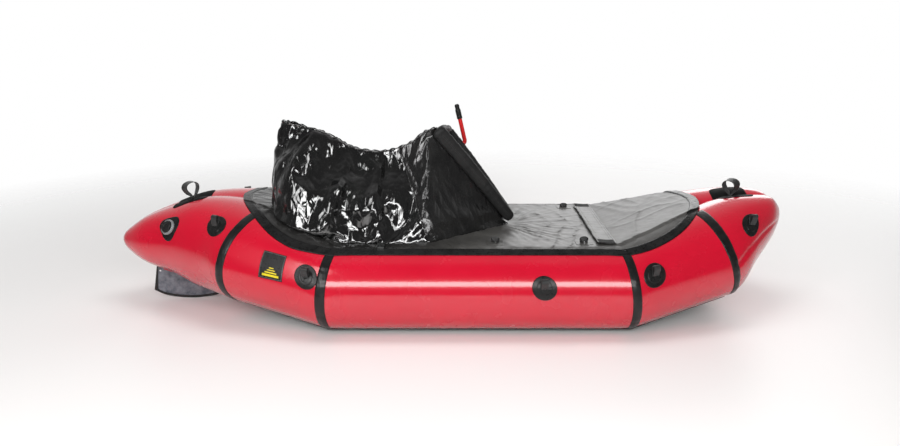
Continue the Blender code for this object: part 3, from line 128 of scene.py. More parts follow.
def ramp(tree, source, stops):
    """Turn a number into a colour or a share; stops are (place, grey or colour)."""
    made = tree.nodes.new("ShaderNodeValToRGB")
    elements = made.color_ramp.elements
    while len(elements) < len(stops):
        elements.new(0.5)
    for element, (place, colour) in zip(elements, stops):
        element.position = place
        element.color = (*(colour if isinstance(colour, tuple) else (colour,) * 3), 1.0)
    tree.links.new(source, made.inputs["Fac"])
    return made.outputs["Color"]


def sums(tree, operation, first, second):
    """Arithmetic on two numbers or sockets."""
    made = tree.nodes.new("ShaderNodeMath")
    made.operation = operation
    for socket, value in zip(made.inputs, (first, second)):
        if isinstance(value, bpy.types.NodeSocket):
            tree.links.new(value, socket)
        else:
            socket.default_value = value
    return made.outputs["Value"]


def start_finish(name, **sockets):
    """A new material, its node tree and its shader with plain values set."""
    made = bpy.data.materials.new(name)
    made.use_nodes = True
    tree = made.node_tree
    shader = tree.nodes["Principled BSDF"]
    for key, value in sockets.items():
        shader.inputs[key.replace("_", " ")].default_value = value
    return made, tree, shader


def dress(shader, **sockets):
    """Wire sockets to the shader's inputs of those names."""
    for key, socket in sockets.items():
        shader.id_data.links.new(socket, shader.inputs[key.replace("_", " ")])


def bump(tree, height, strength, distance, below=None):
    """A normal bent by a height, over the bends of another one."""
    made = tree.nodes.new("ShaderNodeBump")
    made.inputs["Strength"].default_value = strength
    made.inputs["Distance"].default_value = distance
    tree.links.new(height, made.inputs["Height"])
    if below is not None:
        tree.links.new(below, made.inputs["Normal"])
    return made.outputs["Normal"]


def weave(tree, threads):
    """Height of a plain weave on the piece's own flat coordinates, in threads a metre."""
    flat = tree.nodes.new("ShaderNodeTexCoord").outputs["UV"]
    waves = []
    for direction in ("X", "Y"):
        wave = add(tree, "ShaderNodeTexWave", vector=flat, scale=threads / 20.0 * math.pi,
                   bands_direction=direction, distortion=0.0)
        waves.append(wave.outputs["Fac"])
    return sums(tree, "MULTIPLY", *waves)


def cloud(tree, scale, detail=3.0, roughness=0.5, stretch=None):
    """Soft noise on the piece's place in the frame, in waves a metre."""
    where = tree.nodes.new("ShaderNodeTexCoord").outputs["Object"]
    if stretch:
        where = add(tree, "ShaderNodeMapping", vector=where, scale=stretch).outputs["Vector"]
    made = add(tree, "ShaderNodeTexNoise", vector=where, scale=scale, detail=detail, roughness=roughness)
    return made.outputs["Fac"]


# %% [markdown]
# ## The studio
# A pale floor that fades into a white surround, a big soft light overhead, a long strip in
# front that draws the streak along the tube, and a soft light from behind that gives the
# deck its sheen. The surround is white to the eye. In reflections it is white behind the
# boat and dim on the camera's side, as a real studio is, and it lights the boat only
# gently, so the colours stay as they are written.

# %% Floor and surround
def linked(name, data):
    """An object with this mesh, curve or lamp, in the scene."""
    made = bpy.data.objects.new(name, data)
    scene.collection.objects.link(made)
    return made


WORLD_LIGHT = 0.40
ROOM_SHINE = [(0.0, 0.03), (0.42, 0.07), (0.66, 0.20), (0.90, 0.60), (1.0, 0.96)]

world = bpy.data.worlds.new("white_surround")
scene.world = world
world.use_nodes = True
tree = world.node_tree
back = tree.nodes["Background"]
path = tree.nodes.new("ShaderNodeLightPath")
toward = tree.nodes.new("ShaderNodeSeparateXYZ")
tree.links.new(tree.nodes.new("ShaderNodeTexCoord").outputs["Generated"], toward.inputs[0])
room = ramp(tree, sums(tree, "ADD", sums(tree, "MULTIPLY", toward.outputs["Y"], 0.5), 0.5), ROOM_SHINE)
mirrored = sums(tree, "MAXIMUM", path.outputs["Is Glossy Ray"], path.outputs["Is Transmission Ray"])
strength = sums(tree, "MAXIMUM", sums(tree, "MULTIPLY", mirrored, room), path.outputs["Is Camera Ray"])
plain = sums(tree, "MULTIPLY", WORLD_LIGHT, sums(tree, "SUBTRACT", 1.0, mirrored))
back.inputs["Color"].default_value = (1.0, 1.0, 1.0, 1.0)
tree.links.new(sums(tree, "MAXIMUM", strength, plain), back.inputs["Strength"])

FLOOR_REACH = 9.0
FLOOR_LIFT, FLOOR_DROP = 0.02, 0.0005     # glow seen by the camera alone, metres under the hull
corners = [(x * FLOOR_REACH, y * FLOOR_REACH, -FLOOR_DROP) for x, y in ((-1, -1), (1, -1), (1, 1), (-1, 1))]
floor_mesh = bpy.data.meshes.new("studio_floor")
floor_mesh.from_pydata(corners, [], [(0, 1, 2, 3)])
floor = linked("studio_floor", floor_mesh)
floor_paint, tree, shader = start_finish("studio_floor", Roughness=0.42, Specular_IOR_Level=0.35)
shader.inputs["Base Color"].default_value = (0.88, 0.862, 0.852, 1.0)
where = tree.nodes.new("ShaderNodeTexCoord").outputs["Object"]
far = add(tree, "ShaderNodeVectorMath", operation="LENGTH").outputs["Value"]
tree.links.new(where, far.node.inputs[0])
clear = tree.nodes.new("ShaderNodeBsdfTransparent")
blend_out = tree.nodes.new("ShaderNodeMixShader")
fading = ramp(tree, sums(tree, "DIVIDE", far, FLOOR_REACH), [(0.17, 0.0), (0.40, 1.0)])
tree.links.new(fading, blend_out.inputs[0])
lit = tree.nodes.new("ShaderNodeAddShader")
glow = tree.nodes.new("ShaderNodeEmission")
seen = tree.nodes.new("ShaderNodeLightPath").outputs["Is Camera Ray"]
tree.links.new(sums(tree, "MULTIPLY", seen, FLOOR_LIFT), glow.inputs["Strength"])
tree.links.new(shader.outputs[0], lit.inputs[0])
tree.links.new(glow.outputs[0], lit.inputs[1])
tree.links.new(lit.outputs[0], blend_out.inputs[1])
tree.links.new(clear.outputs[0], blend_out.inputs[2])
tree.links.new(blend_out.outputs[0], tree.nodes["Material Output"].inputs["Surface"])
floor_mesh.materials.append(floor_paint)
floor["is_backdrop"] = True

# %% Lights
def softbox(name, place, aim, width, height, power):
    """A rectangular lamp that the camera itself doesn't see."""
    lamp = bpy.data.lights.new(name, "AREA")
    lamp.shape = "RECTANGLE"
    lamp.size = width
    lamp.size_y = height
    lamp.energy = power
    holder = linked(name, lamp)
    holder.location = place
    holder.rotation_euler = (Vector(aim) - Vector(place)).to_track_quat("-Z", "Y").to_euler()
    holder.visible_camera = False
    return holder


softbox("overhead_softbox", (0.0, -0.2, 3.4), (0.0, 0.0, 0.0), 2.4, 1.2, 36.0).visible_glossy = False
softbox("front_strip", (0.0, -3.4, 1.60), (0.0, 0.0, 0.2), 4.4, 0.75, 84.0)
softbox("side_softbox", (-1.9, -2.8, 2.3), (-0.3, 0.0, 0.5), 0.7, 3.0, 32.0)
softbox("back_softbox", (1.9, 3.6, 1.7), (0.3, 0.0, 0.3), 3.2, 1.5, 36.0)

# %% [markdown]
# ## Making a piece
# Most pieces are grids of points, because woven cloth and webbing are grids too. The
# helper turns points and faces into a mesh object, keeps the flat coordinates of the cloth
# as its texture map, turns all faces outwards, and shades it smooth.

# %% Helpers for pieces
def grid(rows, columns, closed=False):
    """Quads of a grid of points numbered row by row."""
    wrap = columns if closed else columns - 1
    row = np.arange(rows - 1)[:, None] * columns
    column = np.arange(wrap)[None, :]
    after = (column + 1) % columns
    quads = np.stack([row + column, row + after, row + columns + after, row + columns + column], -1)
    return [tuple(int(i) for i in q) for q in quads.reshape(-1, 4)]


def points_of(made):
    return np.array([v.co for v in made.data.vertices])


def set_points(made, points):
    made.data.vertices.foreach_set("co", points.ravel())
    made.data.update()


def shade_smooth(made):
    made.data.polygons.foreach_set("use_smooth", [True] * len(made.data.polygons))


def cleaned(mesh, join=0.0, slivers=0.0, flatten=0.0):
    """Join points that coincide, drop slivers, merge flat faces and turn all faces outwards."""
    work = bmesh.new()
    work.from_mesh(mesh)
    if join:
        bmesh.ops.remove_doubles(work, verts=work.verts, dist=join)
    if slivers:
        bmesh.ops.dissolve_degenerate(work, edges=work.edges, dist=slivers)
    if flatten:
        bmesh.ops.dissolve_limit(work, angle_limit=flatten, verts=work.verts, edges=work.edges)
    bmesh.ops.recalc_face_normals(work, faces=work.faces)
    work.to_mesh(mesh)
    work.free()


def ray_tree(*pieces):
    """The surfaces of some pieces together, for rays to meet."""
    points, faces = [], []
    for made in pieces:
        start = len(points)
        points += [v.co.copy() for v in made.data.vertices]
        faces += [tuple(start + i for i in f.vertices) for f in made.data.polygons]
    return BVHTree.FromPolygons(points, faces)


def chart(down, across):
    """Flat places of a grid, from those of its rows and of its columns."""
    return np.stack(np.broadcast_arrays(np.asarray(down)[:, None], np.asarray(across)[None, :]), -1)


def piece(name, points, faces, finish, flat=None, away=None):
    """A mesh object at the origin. flat gives each point's place on the flat cloth; away is
    a point, or one for each point of the piece, that the faces should point away from."""
    points = np.asarray(points, float).reshape(-1, 3)
    mesh = bpy.data.meshes.new(name)
    if away is not None:
        inside = np.broadcast_to(np.asarray(away, float).reshape(-1, 3), points.shape)
        total = 0.0
        for face in faces:
            a, b, c = points[face[0]], points[face[1]], points[face[2]]
            total += float(np.dot(np.cross(b - a, c - a), a - inside[face[0]]))
        if total < 0.0:
            faces = [tuple(reversed(face)) for face in faces]
    mesh.from_pydata(points.tolist(), [], faces)
    if flat is not None:
        layer = mesh.uv_layers.new(name="flat_cloth")
        flat = np.asarray(flat, float).reshape(-1, 2)
        loops = np.zeros(len(mesh.loops), int)
        mesh.loops.foreach_get("vertex_index", loops)
        layer.data.foreach_set("uv", flat[loops].ravel())
    mesh.materials.append(finish)
    made = linked(name, mesh)
    shade_smooth(made)
    return made


def thicken(made, thickness, offset=-1.0):
    """Give a sheet its thickness, so that it is a closed body."""
    wall = made.modifiers.new("thickness", "SOLIDIFY")
    wall.thickness = thickness
    wall.offset = offset
    return made


def rounded(made, levels):
    """Smooth a piece by subdividing it."""
    smoother = made.modifiers.new("rounded", "SUBSURF")
    smoother.levels = levels
    smoother.render_levels = levels
    return made


def applied(made):
    """Turn a piece's modifiers into plain mesh."""
    deps = bpy.context.evaluated_depsgraph_get()
    mesh = bpy.data.meshes.new_from_object(made.evaluated_get(deps))
    made.modifiers.clear()
    made.data = mesh
    return made


def placed(made, body, stands_for=()):
    """Finish a piece: what it rides on, and the nodes that it stands for."""
    if body:
        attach(made, body)
    if stands_for:
        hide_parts(*([stands_for] if isinstance(stands_for, str) else stands_for))
    return made


# %% [markdown]
# ## The hull's shape
# A packraft's tube is sewn from straight and conical panels. Where two panels meet there is
# a seam, and a seam is a tilted ellipse: a station. Between stations the skin is straight,
# and the bow and stern ends are rounded through several stations. The numbers are those of
# the engineering model, so each panel covers its solid.

# %% Stations
Station = namedtuple("Station", "x out z half_width half_height out_lean top_lean")
TUBE = 0.146
STERN_BEND = Station(-0.402, 0.310, 0.1485, TUBE, TUBE, -0.226, 0.060)
BOW_BEND = Station(0.604, 0.310, 0.1485, TUBE, TUBE, 0.156, -0.098)
STERN_SEAM = Station(-0.682, 0.165, 0.226, 0.177, 0.169, -0.680, 0.150)
BOW_SEAM = Station(0.940, 0.156, 0.232, 0.170, 0.153, 0.300, -0.360)
STERN_TIP = (-1.250, 0.241)
BOW_TIP = (1.250, 0.332)
STERN_CONE = [
    (0.224, 0.515, 1.080, 1.059, 0.059, 0.50, 0.060), (0.448, 0.300, 0.943, 0.976, 0.112, 0.20, 0.020),
    (0.638, 0.180, 0.743, 0.751, 0.130, 0.05, 0.0), (0.828, 0.110, 0.500, 0.518, 0.098, 0.0, 0.0),
    (0.922, 0.060, 0.310, 0.320, 0.085, 0.0, 0.0), (0.979, 0.024, 0.152, 0.155, 0.085, 0.0, 0.0),
]
BOW_NOSE = [
    (0.281, 0.606, 1.010, 1.078, 0.118, 0.74, -0.060), (0.510, 0.455, 0.800, 0.974, 0.275, 0.50, 0.120),
    (0.722, 0.300, 0.570, 0.784, 0.412, 0.30, 0.230), (0.869, 0.180, 0.360, 0.490, 0.523, 0.10, 0.200),
    (0.957, 0.073, 0.175, 0.242, 0.608, 0.0, 0.150),
]


def end_stations(seam, tip, shares):
    """Stations from a seam to a tip, given as shares of the seam's own sizes."""
    made = [seam]
    for along, out, width, height, rise, out_lean, top_lean in shares:
        x, z = seam.x + (tip[0] - seam.x) * along, seam.z + seam.half_height * rise
        made.append(Station(x, seam.out * out, z, seam.half_width * width, seam.half_height * height,
                            seam.out_lean * out_lean, top_lean))
    return made + [Station(tip[0], 0.0, tip[1], 0.0, 0.0, 0.0, 0.0)]


STEPS = 24


def rounded_table(stations):
    """A smooth run of stations; past the tip they mirror, so that the tip is round."""
    p = np.array(stations, float)
    ghost = p[-2].copy()
    ghost[3:5] *= -1.0
    p = np.vstack([2 * p[0] - p[1], p, ghost])
    gap = np.sqrt(np.hypot(np.diff(p[:, 0]), np.diff(p[:, 3])))
    knot = np.concatenate([[0.0], np.cumsum(gap)])
    rows = []
    for k in range(1, len(p) - 2):
        t = np.linspace(knot[k], knot[k + 1], STEPS, endpoint=False)[:, None]

        def mix(i, j, a, b):
            return (knot[j] - t) / (knot[j] - knot[i]) * a + (t - knot[i]) / (knot[j] - knot[i]) * b

        a1, a2, a3 = (mix(i, i + 1, p[i], p[i + 1]) for i in (k - 1, k, k + 1))
        rows.append(mix(k, k + 1, mix(k - 1, k + 1, a1, a2), mix(k, k + 2, a2, a3)))
    table = np.vstack(rows + [p[-2][None, :]])
    table[:, 3:5] = np.maximum(table[:, 3:5], 0.0)
    return table


TABLES = {
    "tail": rounded_table(end_stations(STERN_SEAM, STERN_TIP, STERN_CONE)),
    "stern_quarter": np.array([STERN_BEND, STERN_SEAM], float),
    "side": np.array([STERN_BEND, BOW_BEND], float),
    "bow_quarter": np.array([BOW_BEND, BOW_SEAM], float),
    "nose": rounded_table(end_stations(BOW_SEAM, BOW_TIP, BOW_NOSE)),
}
SIDES = {"starboard": -1.0, "port": 1.0}
print("hull:  ", {name: round(abs(t[-1][0] - t[0][0]), 3) for name, t in TABLES.items()}, "m long panels")

# %% [markdown]
# ## Points on the skin
# One function gives the skin's place and outward direction at any share of a panel and any
# angle round it. Everything glued to the hull is laid with it, so that a patch follows the
# curve and the small puckers beside a seam exactly. The puckers come from gathering flat
# cloth round a bend: they are deepest at the seam and fade out within a hand's width.

# %% Skin
PUCKER = 0.0016
PUCKER_REACH = 0.034
SEAM_DRAW = 0.0012
NOSE_FOLD = ([0.0, 0.11, 0.24, 0.39, 0.55, 0.73], [-2.0, 2.0, 9.0, 12.0, 15.0, 18.0])   # share, angle
FOLD_DEPTH, FOLD_WIDTH = 0.0050, 3.0                                                    # m, degrees
ripple_table = np.random.default_rng(7).uniform(-1.0, 1.0, (8, 360))
SEAM_OF = {("side", 0): 0, ("stern_quarter", 0): 0, ("side", 1): 1, ("bow_quarter", 0): 1,
           ("stern_quarter", 1): 2, ("tail", 0): 2, ("bow_quarter", 1): 3, ("nose", 0): 3}


def ripple(row, angle, waves):
    """Smooth noise round the tube that joins up after a full turn."""
    values = ripple_table[row][:waves]
    spot = (np.asarray(angle, float) % 360.0) / 360.0 * waves
    low = np.floor(spot).astype(int)
    t = spot - low
    t = t * t * (3.0 - 2.0 * t)
    return values[low % waves] * (1.0 - t) + values[(low + 1) % waves] * t


def sections(chain, share):
    table = TABLES[chain]
    x = table[0, 0] + (table[-1, 0] - table[0, 0]) * np.asarray(share, float)
    sign = 1.0 if table[-1, 0] > table[0, 0] else -1.0
    return [np.interp(sign * x, sign * table[:, 0], table[:, k]) for k in range(7)]


def bare_skin(chain, share, angle):
    x, out, z, width, height, out_lean, top_lean = sections(chain, share)
    across, upward = np.cos(np.radians(angle)), np.sin(np.radians(angle))
    return np.stack([x + out_lean * width * across + top_lean * height * upward,
                     out + width * across, z + height * upward], -1)


def skin_normal(chain, share, angle):
    low = np.clip(np.asarray(share, float) - 0.002, 0.0, 0.996)
    along = bare_skin(chain, low + 0.004, angle) - bare_skin(chain, low, angle)
    around = bare_skin(chain, share, np.asarray(angle) + 0.5) - bare_skin(chain, share, np.asarray(angle) - 0.5)
    normal = np.cross(along, around)
    length = np.linalg.norm(normal, axis=-1, keepdims=True)
    normal = normal / np.maximum(length, 1e-12)
    middle = np.stack([v + 0.0 * angle for v in sections(chain, share)[:3]], -1)
    outward = bare_skin(chain, share, angle) - middle
    flip = np.sum(normal * outward, -1, keepdims=True) < 0.0
    return np.where(flip, -normal, normal)


def puckers(chain, share, angle):
    """How far the skin dips beside the seams at both ends of a panel."""
    table = TABLES[chain]
    length = abs(table[-1, 0] - table[0, 0])
    ends = {"tail": (0,), "nose": (0,)}.get(chain, (0, 1))
    depth = 0.0
    for end in ends:
        away = np.abs(np.asarray(share, float) - end) * length
        row = SEAM_OF[chain, end]
        folds = 0.6 * ripple(row, angle, 46) + 0.4 * ripple(row + 4, angle, 83)
        depth = depth - (SEAM_DRAW + PUCKER * np.maximum(folds, -0.2)) * np.exp(-(away / PUCKER_REACH) ** 1.5)
    if chain == "nose":
        line = np.interp(share, *NOSE_FOLD)
        across = (np.asarray(angle, float) - line + 180.0) % 360.0 - 180.0
        share = np.asarray(share, float)
        fade = np.clip(np.minimum(3.0 - 3.2 * share, share / 0.10), 0.0, 1.0)
        depth = depth - FOLD_DEPTH * np.exp(-(across / FOLD_WIDTH) ** 2) * fade
    return depth


def skin(chain, share, angle, lift=0.0):
    """Place on the finished skin, lifted off it; out is positive, so port."""
    share, angle = np.broadcast_arrays(np.asarray(share, float), np.asarray(angle, float))
    rise = (puckers(chain, share, angle) + lift)[..., None]
    return bare_skin(chain, share, angle) + skin_normal(chain, share, angle) * rise


def on_side(points, side):
    """Points with positive out, moved to port or to starboard."""
    points = np.array(points, float)
    points[..., 1] *= side
    return points


# %% [markdown]
# ## The red coated fabric
# The hull is nylon coated with polyurethane: saturated red, satin gloss, with the weave only
# just visible. Broad soft waves in the gloss come from panels that are never perfectly
# tight. Light rubbing shows as slightly duller, paler places.

# %% Red fabric
def make_red_fabric():
    made, tree, shader = start_finish("red_coated_fabric", Coat_Weight=0.85, Coat_Roughness=0.12, Coat_IOR=1.65,
                                      Specular_IOR_Level=0.30)
    rub = ramp(tree, cloud(tree, 5.0, 5.0, 0.6), [(0.30, (0.52, 0.0012, 0.019)), (0.55, (0.555, 0.0015, 0.021)),
                                                  (0.80, (0.58, 0.0026, 0.025))])
    dull = ramp(tree, cloud(tree, 9.0, 4.0, 0.5), [(0.35, 0.24), (0.75, 0.30)])
    broad = bump(tree, cloud(tree, 5.0, 1.0, 0.3, (0.45, 1.0, 1.0)), 0.35, 0.006)
    dress(shader, Base_Color=rub, Roughness=dull, Normal=bump(tree, weave(tree, 1900.0), 0.03, 0.0002, broad))
    return made


red_fabric = make_red_fabric()


# %% [markdown]
# ## The hull panels
# Eight panels: two side tubes, two quarters at each end, and the stern cone and bow nose
# that close the ring. Each is a fine grid of points on the skin, with rows closer together
# near its seams where the puckers are.

# %% Hull panels
AROUND = 144
HALF_AROUND = 84
SKIN_WALL = 0.0012


def seam_rows(count):
    """Shares of a panel, closer together near both seams."""
    t = np.linspace(0.0, 1.0, count)
    return t - 0.75 * np.sin(2.0 * math.pi * t) / (2.0 * math.pi)


def tube_panel(name, chain, side, rows):
    """One panel of a side, open at both seams."""
    share = seam_rows(rows)[:, None]
    angle = np.linspace(0.0, 360.0, AROUND, endpoint=False)[None, :]
    points = skin(chain, share, angle)
    points[..., 1] = np.maximum(points[..., 1], 0.0003)
    middle = np.broadcast_to(np.stack([v + 0.0 * angle for v in sections(chain, share)[:3]], -1), points.shape)
    flat = np.stack([points[..., 0], np.radians(angle) * TUBE + 0.0 * points[..., 0]], -1)
    made = piece(name, on_side(points, side), grid(rows, AROUND, True), red_fabric, flat, on_side(middle, side))
    return thicken(made, SKIN_WALL)


def end_panel(name, chain):
    table = TABLES[chain][:-1]
    x = table[:, 0]
    extra = np.concatenate([np.linspace(x[k], x[k + 1], 3, endpoint=False) for k in range(20)])
    x = np.concatenate([extra, x[20:]])
    share = (x - x[0]) / (TABLES[chain][-1, 0] - x[0])
    out, width = sections(chain, share)[1], sections(chain, share)[3]
    top = np.degrees(np.arccos(np.clip(-out / np.maximum(width, 1e-9), -1.0, 1.0)))
    rows = []
    for s, reach in zip(share, top):
        angle = np.linspace(reach, -reach, HALF_AROUND + 1)
        half = skin(chain, np.full_like(angle, s), angle)
        half[0, 1] = half[-1, 1] = 0.0
        half[:, 1] = np.maximum(half[:, 1], 0.0)
        rows.append(np.vstack([on_side(half, -1.0), half[-2:0:-1]]))
    count = 2 * HALF_AROUND
    points = np.vstack(rows + [np.array([[TABLES[chain][-1, 0], 0.0, TABLES[chain][-1, 2]]])])
    faces = grid(len(rows), count, True)
    last = (len(rows) - 1) * count
    faces += [(last + i, last + (i + 1) % count, len(points) - 1) for i in range(count)]
    middle = np.zeros_like(points)
    middle[:, 0] = points[:, 0]
    middle[:, 2] = np.repeat(np.array([r[:, 2].mean() for r in rows]), count).tolist() + [TABLES[chain][-1, 2]]
    around = np.tile(np.arange(count) / count, len(rows)).tolist() + [0.0]
    flat = np.stack([points[:, 0], np.array(around) * 0.9], -1)
    return thicken(piece(name, points, faces, red_fabric, flat, middle), SKIN_WALL)


panels = [end_panel("stern_cone_skin", "tail"), end_panel("bow_nose_skin", "nose")]
placed(panels[0], "hull", "stern_cone")
placed(panels[1], "hull", "bow_nose")
for word, side in SIDES.items():
    for label, chain, rows in (("side_tube", "side", 120), ("stern_quarter", "stern_quarter", 56),
                               ("bow_quarter", "bow_quarter", 64)):
        made = tube_panel(f"{label}_{word}_skin", chain, side, rows)
        panels.append(placed(made, "hull", f"{label}_{word}"))
print("hull:  ", len(panels), "panels,", sum(len(p.data.polygons) for p in panels), "faces")

# %% [markdown]
# ## Black tape over the seams
# Each seam is covered by a glued tape about 30 mm wide. It is thin and soft, so it shows the
# puckers under it as fine creases with a satin shine. Rows of points run across the tape,
# half on one panel and half on the next.

# %% Tape finish
def make_tape(name, dark, low, high, crease_size, stretch, **sockets):
    made, tree, shader = start_finish(name, **sockets)
    creases = bump(tree, cloud(tree, crease_size, 3.0, 0.55, stretch), 0.45, 0.0022)
    dress(shader, Base_Color=ramp(tree, cloud(tree, 30.0, 4.0), [(0.3, dark), (0.7, dark + 0.008)]),
          Roughness=ramp(tree, cloud(tree, 60.0, 5.0, 0.6), [(0.3, low), (0.75, high)]),
          Normal=bump(tree, weave(tree, 1500.0), 0.05, 0.0002, creases))
    return made


seam_tape = make_tape("black_seam_tape", 0.006, 0.28, 0.48, 95.0, (1.0, 1.0, 0.35), Coat_Weight=0.25,
                      Coat_Roughness=0.14, Specular_IOR_Level=0.25)
band_tape = make_tape("black_band_tape", 0.007, 0.22, 0.40, 70.0, (0.5, 1.0, 1.0), Specular_IOR_Level=0.2)

# %% Seam tapes
TAPE_HALF = 0.015
TAPE_RISE = 0.0014
TAPE_ROWS = 11
TAPE_COLUMNS = 240
CLOTH_WALL = 0.0008


def span_share(chain, length):
    return length / abs(TABLES[chain][-1, 0] - TABLES[chain][0, 0])


def tape_rows(first, first_end, second, second_end, angle):
    """Points across a seam from one panel to the next, edges pressed down."""
    rows = []
    for k, across in enumerate(np.linspace(-TAPE_HALF, TAPE_HALF, TAPE_ROWS)):
        edge = 1.0 - (abs(across) / TAPE_HALF) ** 8
        lift = 0.0003 + TAPE_RISE * edge + 0.0005 * edge * ripple(5 + k % 3, angle, 120)
        places = []
        for chain, end, sign in ((first, first_end, -1.0), (second, second_end, 1.0)):
            if across * sign >= -1e-9:
                share = abs(end - span_share(chain, abs(across)))
                places.append(skin(chain, np.full_like(angle, share), angle, lift))
        rows.append(sum(places) / len(places))
    return np.array(rows)


def ring_tape(name, side, first, second):
    """A tape all round one tube."""
    angle = np.linspace(0.0, 360.0, TAPE_COLUMNS, endpoint=False)
    points = tape_rows(*first, *second, angle)
    points[..., 1] = np.maximum(points[..., 1], 0.0004)
    middle = points.mean(axis=1, keepdims=True) + 0.0 * points
    flat = chart(np.linspace(0, 2 * TAPE_HALF, TAPE_ROWS), np.radians(angle) * TUBE)
    made = piece(name + "_strip", on_side(points, side), grid(TAPE_ROWS, TAPE_COLUMNS, True), seam_tape, flat,
                 on_side(middle, side))
    return placed(thicken(made, CLOTH_WALL), "hull", name)


def end_tape(name, first, second, top):
    """A tape over both tubes where an end cone closes the ring."""
    station = sections(second[0], 0.0)
    bottom = -math.degrees(math.acos(max(-1.0, -float(station[1]) / float(station[3]))))
    angle = np.linspace(top, bottom, 150)
    half = tape_rows(*first, *second, angle)
    half[:, -1, 1] = 0.0
    half[..., 1] = np.maximum(half[..., 1], 0.0)
    points = np.concatenate([on_side(half, -1.0), half[:, -2::-1]], axis=1)
    count = points.shape[1]
    middle = np.broadcast_to(np.array([station[0], 0.0, station[2]], float), points.shape)
    flat = chart(np.linspace(0, 2 * TAPE_HALF, TAPE_ROWS), np.linspace(0, 1.1, count))
    made = piece(name + "_strip", points, grid(TAPE_ROWS, count), seam_tape, flat, middle)
    return placed(thicken(made, CLOTH_WALL), "hull", name)


tapes = [end_tape("seam_tape_tail", ("stern_quarter", 1), ("tail", 0), 84.0),
         end_tape("seam_tape_nose", ("bow_quarter", 1), ("nose", 0), 86.0)]
for word, side in SIDES.items():
    tapes.append(ring_tape(f"seam_tape_stern_{word}", side, ("stern_quarter", 0), ("side", 0)))
    tapes.append(ring_tape(f"seam_tape_bow_{word}", side, ("side", 1), ("bow_quarter", 0)))
print("tapes: ", len(tapes), "over the seams")

# %% [markdown]
# ## Where the deck lies
# The deck cloth is glued along the tubes and pulled tight between them. To lay anything on
# it the script needs its height at a place: the hull's skin outboard of the tube's highest
# line, and a level bridge inboard of it. Rays cast down on the finished skin give the first.

# %% Height of the deck
skin_tree = ray_tree(*panels)
crest = []
for chain, shares in (("tail", np.linspace(0.97, 0.0, 60)), ("stern_quarter", np.linspace(0.96, 0.0, 20)),
                      ("side", np.linspace(0.0, 1.0, 8)), ("bow_quarter", np.linspace(0.04, 1.0, 20)),
                      ("nose", np.linspace(0.02, 0.97, 60))):
    crest.append(bare_skin(chain, shares, np.full_like(shares, 90.0)))
crest = np.vstack(crest)
crest = crest[np.argsort(crest[:, 0])]
DECK_LIFT = 0.0030


def skin_height(x, out):
    hit = skin_tree.ray_cast(Vector((x, out, 1.5)), Vector((0.0, 0.0, -1.0)))[0]
    return hit.z if hit else -1.0


def deck_height(x, out):
    """Height of the deck's underside at a place in the plan; out is positive."""
    top_out = float(np.interp(x, crest[:, 0], crest[:, 1]))
    top = max(float(np.interp(x + step, crest[:, 0], crest[:, 2])) for step in (-0.02, 0.0, 0.02))
    if out > top_out:
        return skin_height(x, out)
    return max(skin_height(x, out), top)


print("deck:   level is", round(deck_height(0.3, 0.0), 4), "m up between the tubes")

# %% [markdown]
# ## Soft noise for folds
# Folds need noise that can be stretched, turned and sharpened. A table of random heights,
# blended smoothly, is enough, and it works on thousands of points at once. Sharp crests with
# soft valleys, which cloth has and plain noise lacks, come from folding the noise over.

# %% Noise on many points
fold_table = np.random.default_rng(11).uniform(0.0, 1.0, (64, 64))


def hills(u, v, seed=0):
    """Smooth noise from 0 to 1 at many places."""
    u, v = np.asarray(u, float) + 17.3 * seed, np.asarray(v, float) + 9.1 * seed
    i, j = np.floor(u).astype(int), np.floor(v).astype(int)
    s, t = u - i, v - j
    s, t = s * s * (3 - 2 * s), t * t * (3 - 2 * t)
    a = fold_table[i % 64, j % 64] * (1 - s) + fold_table[(i + 1) % 64, j % 64] * s
    b = fold_table[i % 64, (j + 1) % 64] * (1 - s) + fold_table[(i + 1) % 64, (j + 1) % 64] * s
    return a * (1 - t) + b * t


def crests(u, v, seed=0):
    """Noise with sharp ridges, as creased cloth has, from 0 to 1."""
    return 1.0 - np.abs(2.0 * hills(u, v, seed) - 1.0)


# %% [markdown]
# ## The deck
# A sheet of coated cloth, glued round its edge and open in the middle for the paddler. Tight
# cloth over a long gap keeps creases from packing: short diagonal ones fan out from the foot
# of the hood, and long shallow ones run across the fore deck. It is a grid from the glued
# edge to the opening, or to the middle of the boat, with those creases as small heights.

# %% Deck outline
DECK_ENDS = (-0.754, 0.906)
DECK_HALF = 0.350
DECK_EDGE = [
    (0.000, 0.00), (0.006, 0.16), (0.019, 0.36), (0.043, 0.58), (0.080, 0.79), (0.125, 0.93), (0.170, 0.985),
    (0.212, 1.0), (0.270, 1.0), (0.320, 1.0), (0.370, 1.0), (0.420, 1.0), (0.480, 1.0), (0.540, 1.0),
    (0.600, 1.0), (0.660, 1.0), (0.720, 1.0), (0.770, 1.0), (0.8181, 1.0), (0.860, 0.955), (0.905, 0.85),
    (0.940, 0.72), (0.965, 0.57), (0.983, 0.40), (0.995, 0.20), (1.000, 0.00),
]
OPENING_ENDS = (-0.640, 0.190)
OPENING_HALF = 0.272
OPENING = [
    (0.000, 0.00), (0.000, 0.30), (0.020, 0.58), (0.075, 0.82), (0.160, 0.96), (0.250, 1.00), (0.340, 1.00),
    (0.430, 1.00), (0.520, 1.00), (0.600, 1.00), (0.670, 0.95), (0.760, 0.72), (0.860, 0.43), (0.950, 0.16),
    (1.000, 0.00),
]


